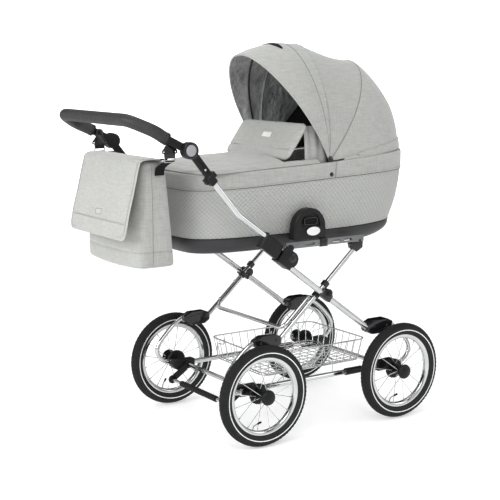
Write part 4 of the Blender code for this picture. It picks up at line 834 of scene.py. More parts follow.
def rear_leg_frame():
    slope = math.tan(REAR_LEG_ANGLE)
    top_z = BAIL_CROSS_Z + (BAIL_TOP_X - BAIL_CROSS_X) * slope
    bail = [(BAIL_TOP_X, BAIL_Y, top_z), (BAIL_CROSS_X, BAIL_Y, BAIL_CROSS_Z),
            (BAIL_CROSS_X, -BAIL_Y, BAIL_CROSS_Z), (BAIL_TOP_X, -BAIL_Y, top_z)]
    shapes = [tube(rounded(bail, 0.030, 10), BAIL_RADIUS, 8)]
    for side in SIDES.values():
        line = side_line(rear_leg(-REAR_LEG_LOW, REAR_LEG_RISE), rear_leg(REAR_LEG_HIGH, REAR_LEG_RISE),
                         side * REAR_LEG_Y)
        shapes.append(tube(line, REAR_LEG_RADIUS, 9))
        shapes.append(disc(PIVOT_X, PIVOT_Z, side * 0.2200, side * 0.2370, 0.0138, 40, 0.0012))
        for share in (0.15, 0.75):
            x = BAIL_TOP_X + (BAIL_CROSS_X - BAIL_TOP_X) * share
            z = top_z + (BAIL_CROSS_Z - top_z) * share
            shapes.append(disc(x, z, side * (BAIL_Y - 0.009), side * (REAR_LEG_Y + 0.004), 0.0045, 20, 0.001))
    piece(join(*shapes), "rear_legs_and_bail", CHROME, "rear_legs", ["rear_leg_frame"], "chrome")


def spring(end, side_name):
    side, way = SIDES[side_name], ENDS[end]
    reach, rise = SPRING_BACK_X - SPRING_TOP_X, SPRING_TOP_Z - SPRING_BOLT_Z
    route = [(SPRING_TOP_X + reach * a, SPRING_BOLT_Z + rise * b) for a, b in SPRING_SHAPE]
    route += [(SPRING_BOLT_X + 0.004, SPRING_BOLT_Z)]
    path = curve_through([(way * x, side * SPRING_Y, z) for x, z in route], 5)
    bow = tube(path, SPRING_RADIUS, 9)
    eye = disc(way * SPRING_BOLT_X, SPRING_BOLT_Z, side * (SPRING_Y - SPRING_RADIUS),
               side * (SPRING_Y + SPRING_RADIUS), 0.0125, 40, 0.0016)
    body = f"{end}_legs"
    node = f"c_spring_{end}_{side_name}"
    piece(join(bow, eye), f"spring_bow_{end}_{side_name}", CHROME, body, [node], "chrome")
    node = f"saddle_{end}_{side_name}"
    outer = side * (0.2617 if end == "front" else 0.2402)
    screws = [screw(way * x, z, outer, side, 0.0052) for x, z in ((0.203, 0.334), (0.262, 0.330))]
    pod = join(copy_of(node, 0.0042, 4, 28), *screws)
    piece(pod, f"spring_saddle_{end}_{side_name}", GLOSS, body, [node], "gloss_black", angle=50)


def rails(side_name, side):
    y = side * RAIL_Y
    outer = tube([(-RAIL_REAR_X, y, WHEEL_RADIUS), (OUTER_RAIL_END_X, y, WHEEL_RADIUS)], RAIL_RADIUS, 9)
    piece(outer, f"rail_tube_{side_name}", CHROME, "rear_frame", [f"outer_rail_{side_name}"], "chrome")
    length = SLEEVE_END_X - SLEEVE_START_X
    sleeve = turned([(0.0062, 0.0), (SLEEVE_RADIUS - 0.0008, 0.0), (SLEEVE_RADIUS, 0.0008),
                     (SLEEVE_RADIUS, length - 0.0020), (SLEEVE_RADIUS - 0.0015, length), (0.0062, length)],
                    0, 0, 0, 1, 36)
    sleeve.data.transform(Matrix.Translation((SLEEVE_START_X, y, WHEEL_RADIUS))
                          @ Matrix.Rotation(math.radians(-90), 4, "Z"))
    piece(sleeve, f"rail_sleeve_{side_name}", BLACK, "rear_frame", slot="black_plastic")
    inner = tube([(INNER_RAIL_REAR_X, y, WHEEL_RADIUS), (RAIL_REAR_X, y, WHEEL_RADIUS)], INNER_RAIL_RADIUS, 8)
    piece(inner, f"sliding_rail_{side_name}", CHROME, "front_frame", [f"inner_rail_{side_name}"], "chrome")


def joints_and_housings(side_name, side):
    body = "front_legs"
    dressed(f"pivot_clamp_{side_name}", f"scissor_clamp_{side_name}", GLOSS, body, "gloss_black", 0.0016)
    bolt = join(disc(PIVOT_X, PIVOT_Z, side * 0.2675, side * 0.2710, 0.0068, 6, 0.0006),
                disc(PIVOT_X, PIVOT_Z, side * 0.2640, side * 0.2688, 0.0096, 32, 0.0008))
    piece(bolt, f"scissor_bolt_{side_name}", CAST, body)
    dressed(f"corner_block_{side_name}", f"strap_corner_{side_name}", GLOSS, "rear_legs", "gloss_black",
            0.0022, screw(STRAP_PIN_X, STRAP_PIN_Z, side * 0.2375, side, 0.0065, 0.0018))
    dressed(f"handle_housing_{side_name}", f"fold_housing_{side_name}", BLACK, body, "black_plastic",
            0.0018, screw(*front_leg(0.250, 0.018), side * 0.2758, side, 0.0058, 0.0016), angle=50)
    cap = turned([(0.0001, 0.0016), (0.0130, 0.0014), (0.0150, 0.0006), (0.0155, -0.0010), (0.0001, -0.0010)],
                 FOLD_X, side * 0.2762, FOLD_Z, side, 40)
    piece(cap, f"fold_cap_{side_name}", GLOSS, body)
    lock = f"fold_lock_{side_name}"
    dressed(lock, f"fold_slider_{side_name}", BLACK, lock, "gloss_black", 0.0020)


def half_circle(x, z, radius, start):
    """Nine points of a half circle that begins at a number of half turns."""
    turns = [math.pi * (i / 8 + start) for i in range(9)]
    return [(x + radius * math.cos(t), z + radius * math.sin(t)) for t in turns]


def strap_bar(x0, x1, pin_x, y, slots):
    """A flat steel strap with a hole at its pin and long slots through it, and the y of its outer face."""
    side = math.copysign(1, y)
    y0, y1 = y - side * STRAP_THICK / 2, y + side * STRAP_THICK / 2
    reach = min(y0, y1) - 0.01, max(y0, y1) + 0.01
    cutters = [disc(pin_x, STRAP_PIN_Z, *reach, 0.0045, 24)]
    for a, b in slots:
        outline = half_circle(b - SLOT_HALF, STRAP_MIDDLE, SLOT_HALF, -0.5)
        outline += half_circle(a + SLOT_HALF, STRAP_MIDDLE, SLOT_HALF, 0.5)
        cutters.append(prism(outline, *reach))
    return carve(block(x0, x1, y0, y1, STRAP_LOW, STRAP_HIGH, 0.0008), *cutters), y1


def straps(side_name, side):
    bar, face = strap_bar(-0.125, 0.166, STRAP_PIN_X, side * FRONT_STRAP_Y, [(0.030, 0.065), (0.080, 0.115)])
    bar = join(bar, rivet(0.016, STRAP_MIDDLE, face, side, 0.0050, 0.0013))
    piece(bar, f"strap_front_{side_name}", STRAP, "front_straps", [f"front_strap_{side_name}"], "steel")
    bar, face = strap_bar(-0.166, GUIDE_REAR_X, -STRAP_PIN_X, side * REAR_STRAP_Y, [(-0.090, -0.050)])
    bar = join(bar, rivet(-0.112, STRAP_MIDDLE, face, side, 0.0055, 0.0016))
    piece(bar, f"strap_rear_{side_name}", STRAP, "carrier", [f"rear_strap_{side_name}"], "steel")
    low, high = STRAP_LOW - 0.0005, STRAP_HIGH + 0.0005
    x0, x1, inner, seat = GUIDE_REAR_X, GUIDE_FRONT_X, side * 0.2376, side * 0.2445
    guide = join(block(x0, x1, side * 0.2436, side * 0.2485, low - 0.002, high + 0.002, 0.0008),
                 block(x0, x1, inner, seat, low - 0.002, low, 0.0004),
                 block(x0, x1, inner, seat, high, high + 0.002, 0.0004),
                 screw(-0.011, STRAP_MIDDLE, side * 0.2483, side, 0.0042, 0.0014))
    piece(guide, f"strap_guide_{side_name}", GLOSS, "carrier", slot="gloss_black")


def axle(end):
    body = f"{end}_frame"
    dressed(f"{end}_axle_frame", f"axle_casting_{end}", CAST, body, "black_metal", 0.0014)
    cover = disc(ENDS[end] * WHEELBASE / 2, WHEEL_RADIUS, -0.1740, 0.1740, 0.0083, 48)
    piece(cover, f"axle_tube_{end}", CHROME, body, slot="chrome")


for side_name, side in SIDES.items():
    legs(side_name, side)
    rails(side_name, side)
    joints_and_housings(side_name, side)
    straps(side_name, side)
    for end in ENDS:
        spring(end, side_name)
rear_leg_frame()
for end in ENDS:
    axle(end)

# Handle, grip and brake

HINGE_X, HINGE_Z = -0.544, 0.982
GRIP_SLOPE = math.atan(0.50)
GRIP_STOPS = [(0.084, 0.2525), (0.096, 0.2525), (0.145, 0.272), (0.216, 0.225)]
GRIP_RADIUS, GRIP_BEND = 0.018, 0.050
HANDLE_Y, HANDLE_RADIUS, HANDLE_RISE = 0.2615, 0.010, 0.021
HANDLE_BEND_X, HANDLE_TOP_X, HANDLE_TOP_Z, HANDLE_BEND = -0.366, -0.470, 0.891, 0.09
BRAKE_X, BRAKE_Z = -0.359, 0.125


def grip_point(distance):
    return HINGE_X - distance * math.cos(GRIP_SLOPE), HINGE_Z + distance * math.sin(GRIP_SLOPE)


def leg_place(x, z):
    c, w = math.cos(FRONT_LEG_ANGLE), math.sin(FRONT_LEG_ANGLE)
    return (z - PIVOT_Z) * w - (x - PIVOT_X) * c


def handle_side(side_name, side):
    y = side * HANDLE_Y
    start = front_leg(leg_place(FOLD_X, FOLD_Z), HANDLE_RISE)
    bend = (PIVOT_X - HANDLE_BEND_X + HANDLE_RISE * math.sin(FRONT_LEG_ANGLE)) / math.cos(FRONT_LEG_ANGLE)
    route = [(x, y, z) for x, z in (start, front_leg(bend, HANDLE_RISE), (HANDLE_TOP_X, HANDLE_TOP_Z))]
    shaft = tube(rounded(route, HANDLE_BEND, 14), HANDLE_RADIUS, 9)
    knuckle = disc(FOLD_X, FOLD_Z, side * (HANDLE_Y - HANDLE_RADIUS), side * (HANDLE_Y + HANDLE_RADIUS),
                   0.0134, 40, 0.0012)
    shaft = join(shaft, knuckle)
    piece(shaft, f"handle_shaft_{side_name}", CHROME, "handle", [f"handle_tube_{side_name}"], "chrome")
    dressed(f"lower_arm_{side_name}", f"arm_lower_{side_name}", BLACK, "handle", "black_plastic", 0.0014)
    rib_y = side * 0.2595
    ribs = [tilted(HINGE_X, HINGE_Z, GRIP_SLOPE, 0.030, 0.076, n, n + 0.0022, rib_y - side * 0.0006,
                   rib_y + side * 0.0012, 0.0004) for n in (-0.0085, 0.0063)]
    dressed(f"upper_arm_{side_name}", f"arm_upper_{side_name}", BLACK, "grip", "black_plastic", 0.0018,
            *ribs, rivet(*grip_point(0.066), rib_y, side, 0.0042, 0.0012))
    button = turned([(0.0001, 0.0), (0.0120, -0.0003), (0.0160, -0.0010), (0.0176, -0.0024),
                     (0.0178, -0.0095), (0.0001, -0.0095)], HINGE_X, side * 0.2755, HINGE_Z, side, 48)
    node = f"hinge_button_{side_name}"
    piece(button, f"button_cap_{side_name}", BUTTON, node, [node], "grey_plastic")
    ring = turned([(0.0188, -0.0010), (0.0188, 0.0004), (0.0205, 0.0012), (0.0240, 0.0010),
                   (0.0262, -0.0006), (0.0262, -0.0030), (0.0188, -0.0030)],
                  HINGE_X, side * 0.2722, HINGE_Z, side, 48)
    piece(ring, f"hinge_ring_{side_name}", GLOSS, "handle", slot="gloss_black")
    way = (Vector((HANDLE_TOP_X, HANDLE_TOP_Z)) - Vector((HINGE_X, HINGE_Z))).normalized()
    pin = rivet(HINGE_X + 0.080 * way.x, HINGE_Z + 0.080 * way.y, side * 0.2720, side, 0.0035, 0.0012)
    piece(pin, f"arm_pin_{side_name}", CHROME, "handle")


def grip():
    route = [(grip_point(d)[0], y, grip_point(d)[1]) for d, y in GRIP_STOPS]
    route += [(x, -y, z) for x, y, z in reversed(route)]
    path = rounded(route, GRIP_BEND, 14)
    fine = []
    for a, b in zip(path, path[1:]):
        steps = max(1, int((b - a).length / 0.0012))
        fine += [a.lerp(b, i / steps) for i in range(steps)]
    fine.append(path[-1])
    wrap = tube(fine, GRIP_RADIUS + 0.0014, 12, along=True)
    reached = wrap.data.attributes["along"].data
    total = distances(fine)[-1]
    near = nearest(fine)
    for vertex in wrap.data.vertices:
        place = reached[vertex.index].value
        middle = max(0.0, 1 - abs(place / total - 0.5) / 0.36)
        wave = abs(math.sin(math.pi * place / WRAP_PITCH)) ** 0.6
        outwards = (vertex.co - near.find(vertex.co)[0]).normalized()
        vertex.co += outwards * 0.0008 * (wave - 0.5) * min(1.0, middle * 3)
    piece(wrap, "grip_wrap", LEATHER, "grip", ["grip"], "grip_leather")
    for side_name, ends in (("left", route[:2]), ("right", route[:-3:-1])):
        start, stop = [Vector(p) for p in ends]
        way = (stop - start).normalized()
        collar = tube([start - way * 0.0004, start + way * 0.006], GRIP_RADIUS + 0.0022, 12)
        piece(round_edges(collar, 0.0008, 2), f"grip_collar_{side_name}", BLACK, "grip")


def brake():
    x, z = -WHEELBASE / 2, WHEEL_RADIUS
    angle = math.atan2(BRAKE_Z - z, x - BRAKE_X)
    reach = math.hypot(BRAKE_X - x, BRAKE_Z - z)
    plates = []
    for side in SIDES.values():
        y0, y1 = side * 0.178, side * 0.186
        hub = turned([(0.0086, -0.004), (0.0132, -0.004), (0.0140, -0.0032), (0.0140, 0.0032),
                      (0.0132, 0.004), (0.0086, 0.004), (0.0086, -0.004)], x, side * 0.182, z, side, 36)
        plates += [block(x - reach, x - 0.012, y0, y1, z - 0.0120, z + 0.0120, 0.003, -angle, (x, z)), hub,
                   disc(BRAKE_X, BRAKE_Z, y0, y1, 0.0145, 32, 0.0012),
                   screw(BRAKE_X, BRAKE_Z, y1, side, 0.0060, 0.0018)]
    piece(join(*plates), "brake_plates", BLACK, "brake", ["brake_bar"], "black_metal")
    bar = tube([(BRAKE_X, -0.1815, BRAKE_Z), (BRAKE_X, 0.1815, BRAKE_Z)], 0.0060, 8)
    piece(bar, "brake_rod", CHROME, "brake", slot="chrome")
    profile = [(0.0061, 0.0), (0.0098, 0.0), (0.0105, 0.0008)]
    for i in range(18):
        y = 0.006 + i * 0.0125
        profile += [(0.0105, y), (0.0098, y + 0.0010), (0.0098, y + 0.0022), (0.0105, y + 0.0032)]
    profile += [(0.0105, 0.2292), (0.0098, 0.230), (0.0061, 0.230)]
    sleeve = turned(profile, BRAKE_X, -0.115, BRAKE_Z, 1, 36)
    piece(sleeve, "brake_sleeve", RUBBER, "brake", slot="black_metal")


for side_name, side in SIDES.items():
    handle_side(side_name, side)
grip()
brake()

# Basket of crossed wires

BASKET_REAR_X, BASKET_FRONT_X, BASKET_HALF, BASKET_TAPER = -0.205, 0.245, 0.168, 0.014
BASKET_RIM_Z, BASKET_FLOOR_Z = 0.265, 0.188


def basket_ring(share, steps):
    """The basket's outline between its floor, 0, and its rim, 1."""
    z = BASKET_FLOOR_Z + (BASKET_RIM_Z - BASKET_FLOOR_Z) * share
    inset = BASKET_TAPER * (1 - share)
    x0, x1, y = BASKET_REAR_X + inset, BASKET_FRONT_X - inset, BASKET_HALF - inset
    r = 0.030
    path = []
    right, left, y = x1 - r, x0 + r, y - r
    for cx, cy, start in ((right, y, 0), (left, y, 90), (left, -y, 180), (right, -y, 270)):
        for i in range(steps + 1):
            a = math.radians(start + 90 * i / steps)
            path.append((cx + r * math.cos(a), cy + r * math.sin(a), z))
    return path


def basket():
    wires = [tube(basket_ring(share, 6), radius, detail, closed=True)
             for share, radius, detail in ((1.0, 0.0024, 3), (0.0, 0.0018, 2), (0.10, 0.0015, 2))]
    x_low, x_high = BASKET_REAR_X + BASKET_TAPER, BASKET_FRONT_X - BASKET_TAPER
    y_low = BASKET_HALF - BASKET_TAPER
    across = 12
    for i in range(across + 1):
        x = x_low + 0.018 + (x_high - x_low - 0.036) * i / across
        top = BASKET_REAR_X + 0.022 + (BASKET_FRONT_X - BASKET_REAR_X - 0.044) * i / across
        route = [(top, BASKET_HALF, BASKET_RIM_Z), (x, y_low, BASKET_FLOOR_Z), (x, -y_low, BASKET_FLOOR_Z),
                 (top, -BASKET_HALF, BASKET_RIM_Z)]
        wires.append(tube(rounded(route, 0.010, 3), 0.0014, 2))
    along = 8
    for i in range(along + 1):
        y = -y_low + 0.018 + (2 * y_low - 0.036) * i / along
        top = -BASKET_HALF + 0.022 + (2 * BASKET_HALF - 0.044) * i / along
        route = [(BASKET_REAR_X, top, BASKET_RIM_Z), (x_low, y, BASKET_FLOOR_Z - 0.0026),
                 (x_high, y, BASKET_FLOOR_Z - 0.0026), (BASKET_FRONT_X, top, BASKET_RIM_Z)]
        wires.append(tube(rounded(route, 0.010, 3), 0.0014, 2))
    for side in SIDES.values():
        for x in (-0.150, 0.060):
            hook = [(x, side * 0.1655, 0.250), (x, side * 0.163, 0.228), (x, side * RAIL_Y, 0.222),
                    (x, side * RAIL_Y, WHEEL_RADIUS + RAIL_RADIUS + 0.0006)]
            wires.append(tube(rounded(hook, 0.012, 6), 0.0020, 3))
    piece(join(*wires), "basket_wires", CHROME, "rear_frame", ["basket"], "chrome", angle=60)


basket()

# Soft goods: tools

def crease(point, scale, depth):
    """A soft unevenness at a point, the same on each run."""
    return depth * (noise.noise(Vector(point) * scale) + 0.5 * noise.noise(Vector(point) * scale * 2.3))


def loft(rows, closed=True, capped=False, marks=None):
    """Quads between rows of points, with a UV map in metres; marks gives each strip's material."""
    count = len(rows[0])
    across = distances(rows[len(rows) // 2], closed)
    along = distances([row[0] for row in rows])
    marks = marks or [0] * len(rows)
    faces, corners, kinds = [], [], []
    for r in range(len(rows) - 1):
        for c in range(count if closed else count - 1):
            d = (c + 1) % count
            faces.append((r * count + c, r * count + d, (r + 1) * count + d, (r + 1) * count + c))
            corners += [(across[c], along[r]), (across[c + 1], along[r]), (across[c + 1], along[r + 1]),
                        (across[c], along[r + 1])]
            kinds.append(marks[r])
    for row, mark in ((0, marks[0]), (len(rows) - 1, marks[-2])) if capped else ():
        faces.append(range(row * count, (row + 1) * count))
        corners += [(p[0], p[1]) for p in rows[row]]
        kinds.append(mark)
    obj = add_mesh("loft", [p for row in rows for p in row], faces=faces)
    layer = obj.data.uv_layers.new(name="UVMap")
    for corner, uv in zip(layer.data, corners):
        corner.uv = uv
    for polygon, kind in zip(obj.data.polygons, kinds):
        polygon.material_index = kind
    return outward(obj) if capped else obj


def walled(obj, thickness):
    """An open sheet given a thickness inwards, with its edges closed."""
    modify(obj, "SOLIDIFY", thickness=thickness, offset=-1, use_even_offset=False)
    return settle(obj)


def pad(width, length, corner, thick, place, crown, groove, across, along, edge, under=0.5):
    """A stuffed piece with rounded corners; place(x, y, h) puts a point of the flat pad and its height.

    The height is 0 on the outline. The share under of the thickness lies below it.
    """
    half_width = width / 2

    def outline(u, v):
        x, y = (2 * u - 1) * half_width, v * length
        dx, side_x = abs(x) - (half_width - corner), math.copysign(1, x)
        low = y < length / 2
        dy = (corner - y) if low else (y - (length - corner))
        if dx > 0 and dy > 0:
            share = max(dx, dy) / math.hypot(dx, dy)
            dx, dy = dx * share, dy * share
            x = side_x * (half_width - corner + dx)
            y = corner - dy if low else length - corner + dy
        return x, y

    def inset(x, y):
        dx, dy = half_width - abs(x), min(y, length - y)
        if dx < corner and dy < corner:
            return corner - math.hypot(corner - dx, corner - dy)
        return min(dx, dy)

    rows_top, rows_low = [], []
    for j in range(along + 1):
        top, low = [], []
        for i in range(across + 1):
            x, y = outline(i / across, j / along)
            d = max(0.0, inset(x, y))
            full = math.sqrt(max(0.0, 1 - (1 - min(1.0, d / edge)) ** 2))
            u, v = x / half_width, 2 * y / length - 1
            puff = crown * (1 - u * u) * (1 - v * v)
            height = full * (thick + puff)
            if groove:
                height -= groove(x, y) * full
            top.append(place(x, y, height * (1 - under)))
            low.append(place(x, y, -height * under))
        rows_top.append(top)
        rows_low.append(low)
    top, low = loft(rows_top, False), loft(rows_low, False)
    edit(low, (bpy.ops.mesh.flip_normals, {}))
    return outward(join(top, low))


def stitches(path, pitch=0.0042, length=0.0030, radius=0.00042):
    """Small thread stitches along a path."""
    reached = distances(path)
    points = [Vector(p) for p in path]
    verts, faces = [], []
    place, index = pitch, 0
    while place < reached[-1] - pitch:
        while reached[index + 1] < place:
            index += 1
        a, b = points[index], points[index + 1]
        way = (b - a).normalized()
        middle = a.lerp(b, (place - reached[index]) / max(1e-9, reached[index + 1] - reached[index]))
        across = way.orthogonal().normalized()
        up = way.cross(across)
        base = len(verts)
        for share, size in ((-0.5, 0.45), (-0.3, 1.0), (0.3, 1.0), (0.5, 0.45)):
            for out in (across, up, -across, -up):
                verts.append(middle + way * length * share + out * radius * size)
        for low in range(base, base + 12, 4):
            faces += [(low + k, low + (k + 1) % 4, low + 4 + (k + 1) % 4, low + 4 + k) for k in range(4)]
        faces += [(base + 3, base + 2, base + 1, base), (base + 12, base + 13, base + 14, base + 15)]
        place += pitch
    return edit(add_mesh("stitches", verts, faces=faces),
                (bpy.ops.mesh.normals_make_consistent, {"inside": False}))


def cloth(obj, width):
    """Declares a thin walled sheet by its width and the length that its skin's area gives."""
    length = sum(p.area for p in obj.data.polygons) / 2 / width
    print("SHEET", obj.name, "%.3f x %.3f m" % (width, length))
    return obj


def sewn(rows, inside, thickness, name, body, middle=None, closed=False, nodes=(), angle=60):
    """Melange cloth through the rows, facing away from the point inside; its width is the middle row's."""
    middle = len(rows) // 2 if middle is None else middle
    skin = walled(facing(loft(rows, closed), inside), thickness)
    skin = piece(skin, name, CLOTH, body, nodes, "melange_cloth", angle)
    return cloth(skin, distances(rows[middle], closed)[-1])


def stuffed(fill, *what, **settings):
    """A padded piece and the share of its inside that is filled, which is not used."""
    piece(*what, **settings)


# Carrycot

COT_FOOT_X, COT_HEAD_X, COT_HALF = -0.475, 0.433, 0.211
BASE_FOOT_X, BASE_HEAD_X, BASE_HALF = -0.474, 0.386, 0.193
FLOOR_FOOT_X, FLOOR_HEAD_X, FLOOR_HALF, FLOOR_Z = -0.448, 0.300, 0.158, 0.629
SEAM_Z, SEAM_LIFT = 0.680, 0.012
RIM_FOOT_Z, RIM_MIDDLE_Z, RIM_HEAD_Z = 0.892, 0.909, 0.940
BAND_FOOT_Z, BAND_HEAD_Z = 0.840, 0.874
SQUARENESS = 4.2
WALL, BASE_WALL = 0.008, 0.004
FULL_WIDTH_SHARE = 0.76
RING_POINTS = 160
RING_ANGLES = [2 * math.pi * (i + 0.5) / RING_POINTS for i in range(RING_POINTS)]


def between(a, b, share):
    return a + (b - a) * share


def clipped(share):
    """The share kept between 0 and 1."""
    return min(1.0, max(0.0, share))


def oval(foot, head, half, height):
    """A row of points round the carrycot; height(x, y) is each point's Z."""
    row = []
    for a in RING_ANGLES:
        c, s = superellipse(a, SQUARENESS)
        x, y = (foot + head) / 2 + (head - foot) / 2 * c, half * s
        row.append((x, y, height(x, y)))
    return row


def rim_height(x):
    if x < 0:
        return between(RIM_FOOT_Z, RIM_MIDDLE_Z, (x - COT_FOOT_X) / -COT_FOOT_X)
    return between(RIM_MIDDLE_Z, RIM_HEAD_Z, x / COT_HEAD_X)


def seam_height(x):
    return SEAM_Z + SEAM_LIFT * max(0.0, x / BASE_HEAD_X) ** 2


def band_height(x):
    return between(BAND_FOOT_Z, BAND_HEAD_Z, (x - COT_FOOT_X) / (COT_HEAD_X - COT_FOOT_X))


def body_point(a, share, out=0.0):
    """A point of the carrycot's side at the angle a and the share of its height above the base."""
    grow = clipped(share / FULL_WIDTH_SHARE)
    grow += 0.16 * math.sin(math.pi * grow)
    foot, head = between(BASE_FOOT_X, COT_FOOT_X, grow), between(BASE_HEAD_X, COT_HEAD_X, grow)
    c, s = superellipse(a, SQUARENESS)
    x = (foot + head) / 2 + ((head - foot) / 2 + out) * c
    low = seam_height(x) + 0.0004
    return x, (between(BASE_HALF, COT_HALF, grow) + out) * s, between(low, rim_height(x), share)


def band_share(a):
    x = body_point(a, 0.7)[0]
    return (band_height(x) - seam_height(x)) / (rim_height(x) - seam_height(x))


def cot_base():
    def ring(share, inset):
        grow = math.sin(min(1.0, share / 0.85) * math.pi / 2) ** 0.7
        foot = between(FLOOR_FOOT_X, BASE_FOOT_X, grow) + inset
        head = between(FLOOR_HEAD_X, BASE_HEAD_X, grow) - inset
        half = between(FLOOR_HALF, BASE_HALF, grow) - inset
        return oval(foot, head, half, lambda x, y: between(FLOOR_Z, seam_height(x), share))

    shares = [0.0, 0.02, 0.06, 0.12, 0.2, 0.3, 0.42, 0.55, 0.68, 0.8, 0.9, 0.97, 1.0]
    outer = [ring(share, 0.0006 if share == 1.0 else 0.0) for share in shares]
    inner = [ring(share, BASE_WALL) for share in reversed(shares[3:])]
    tub = loft(outer + inner, capped=True)
    piece(tub, "boat_base", BASE, "cot", ["cot_base"], "black_plastic", angle=30)


def cot_shell():
    def ring(share, out=0.0):
        return [body_point(a, share, out) for a in RING_ANGLES]

    outer = [ring(0.0, -0.004)]
    for i in range(17):
        puff = 0.0012 * math.sin(math.pi * i / 16)
        outer.append([body_point(a, band_share(a) * i / 16, puff) for a in RING_ANGLES])
    outer += [ring(share) for share in (0.86, 0.94, 1.0)]
    inner = [ring(share, -WALL) for share in (1.0, 0.9, 0.7, 0.5, 0.3, 0.12)]
    marks = [0] * (len(outer) - 1) + [1] * (len(inner) + 1)
    tub = loft(outer + inner, capped=True, marks=marks)
    stuffed(0.9, tub, "quilted_shell", [SHELL, INSIDE], "cot", ["cot_body"], "quilted_cloth", angle=40)
    piping = tube(ring(0.004, 0.0004), 0.0016, 3, closed=True)
    piece(piping, "shell_piping", BLACK_PIPING, "cot")


def cot_band():
    """The melange band round the rim, turned over it; its lower edge stands a little proud."""
    def band_point(a, share, out):
        return body_point(a, between(band_share(a), 1.0, share), out)

    rows = []
    for share, out in ((0.0, 0.0016), (0.02, 0.0020), (0.06, 0.0018), (0.3, 0.0016), (0.6, 0.0016),
                       (0.85, 0.0016), (0.97, 0.0013), (1.0, 0.0004)):
        depth = 0.0004 * (0.3 < share < 0.95)
        rows.append([band_point(a, share, out + crease(band_point(a, share, out), 30, depth))
                     for a in RING_ANGLES])
    for share, inward, lift in ((1.0, 0.003, 0.0006), (1.0, WALL - 0.001, 0.0004),
                                (0.985, WALL + 0.0010, 0.0), (0.94, WALL + 0.0010, 0.0)):
        rows.append([(x, y, z + lift) for x, y, z in [body_point(a, share, -inward) for a in RING_ANGLES]])
    sewn(rows, (0, 0, 0.85), 0.0009, "rim_band", "cot", 3, True, angle=50)
    path = [band_point(a, 0.10, 0.0021) for a in RING_ANGLES + RING_ANGLES[:1]]
    piece(stitches(path), "band_stitches", THREAD, "cot")
    # A dark tube under the band's proud lower edge: painted shadow in the gap there.
    edge = tube([body_point(a, band_share(a) - 0.004, 0.0012) for a in RING_ANGLES], 0.0011, 3, closed=True)
    piece(edge, "band_hem_shadow_line", SHADE, "cot")
    for side_name, side in SIDES.items():
        x, y = 0.062, side * 0.2131
        seam = tube([(x, y, band_height(x) + 0.001), (x + 0.002, y, rim_height(x) - 0.001)], 0.0007, 2)
        piece(seam, f"band_seam_{side_name}", SHADE, "cot")
        place = 0.045, side * 0.2133, 0.872, side
        snap = turned([(0.0001, 0.0030), (0.0050, 0.0028), (0.0068, 0.0018), (0.0074, 0.0004),
                       (0.0074, -0.0006), (0.0001, -0.0006)], *place, 32)
        dimple = turned([(0.0001, 0.0034), (0.0026, 0.0034), (0.0032, 0.0026), (0.0001, 0.0020)], *place, 24)
        piece(join(snap, dimple), f"band_snap_{side_name}", GLOSS, "cot")


def mattress():
    inset = WALL + 0.004
    low = seam_height(BASE_HEAD_X - inset) + WALL + 0.0006
    foot, head, half = BASE_FOOT_X + inset, BASE_HEAD_X - inset, BASE_HALF - inset

    def ring(rise, shrink):
        def height(x, y):
            return low + 0.045 * rise + crease((x, y, rise), 9, 0.0012) * (rise > 0.5)
        return oval(foot + shrink, head - shrink, half - shrink, height)

    rows = [ring(*row) for row in (
        (0.0, 0.012), (0.04, 0.006), (0.12, 0.003), (0.2, 0.0045), (0.5, 0.001), (0.78, 0.0045),
        (0.86, 0.003), (0.93, 0.010), (0.965, 0.022), (0.98, 0.05), (0.99, 0.09), (1.0, 0.13))]
    pad_shape = loft(rows, capped=True)
    stuffed(0.7, pad_shape, "mattress_pad", INSIDE, "cot", ["mattress"], "melange_cloth", angle=50)


def bracket(side_name, side):
    """The arched side bracket with its recess, two screws and a bare oval badge."""
    turns = [superellipse(2 * math.pi * (i + 0.5) / 48, 4.0) for i in range(48)]
    slot = [(-0.065 + 0.0265 * c, 0.7240 + 0.0115 * s) for c, s in turns]
    node = f"cot_bracket_{side_name}"
    shape = carve(copy_of(node, 0.0024), prism(slot, side * 0.2398, side * 0.2480))
    shape = join(shape, *[screw(x, 0.703, side * 0.2430, side, 0.0045, 0.0012) for x in (-0.096, -0.014)])
    piece(shape, f"carrier_bracket_{side_name}", BLACK, "cot", [node], "black_plastic", angle=40)
    badge = turned([(0.0001, 0.0012), (0.80, 0.0011), (0.93, 0.0006), (0.97, -0.0004), (0.0001, -0.0004)],
                   0, 0, 0, side, 64)
    place = Matrix.Translation((-0.055, side * 0.2470, 0.690))
    badge.data.transform(place @ Matrix.Diagonal((0.0290, 1, 0.0152, 1)))
    piece(badge, f"oval_badge_{side_name}", BADGE, "cot")
    piece(prism(slot, side * 0.2390, side * 0.2402), f"bracket_slot_{side_name}", WEBBING, "cot")
    rim = tube([(x, side * 0.2437, z) for x, z in slot], 0.0017, 4, closed=True)
    piece(rim, f"bracket_lip_{side_name}", GLOSS, "cot")


# Apron and its flap

APRON_FOOT_X, APRON_HEAD_X, APRON_HALF, APRON_HEIGHT = -0.466, -0.130, 0.205, 0.018
APRON_CROWN = 0.030
WING_END_X, WING_LAP, WING_WIDTH = 0.004, 0.012, 0.040


def apron_half(x):
    """The apron's half width, drawn in round the foot end and along the wings."""
    reach = (x - APRON_FOOT_X) / 0.10
    if reach < 1:
        return APRON_HALF * (1 - (1 - max(0.0, reach)) ** 3.2) ** (1 / 3.2)
    return APRON_HALF


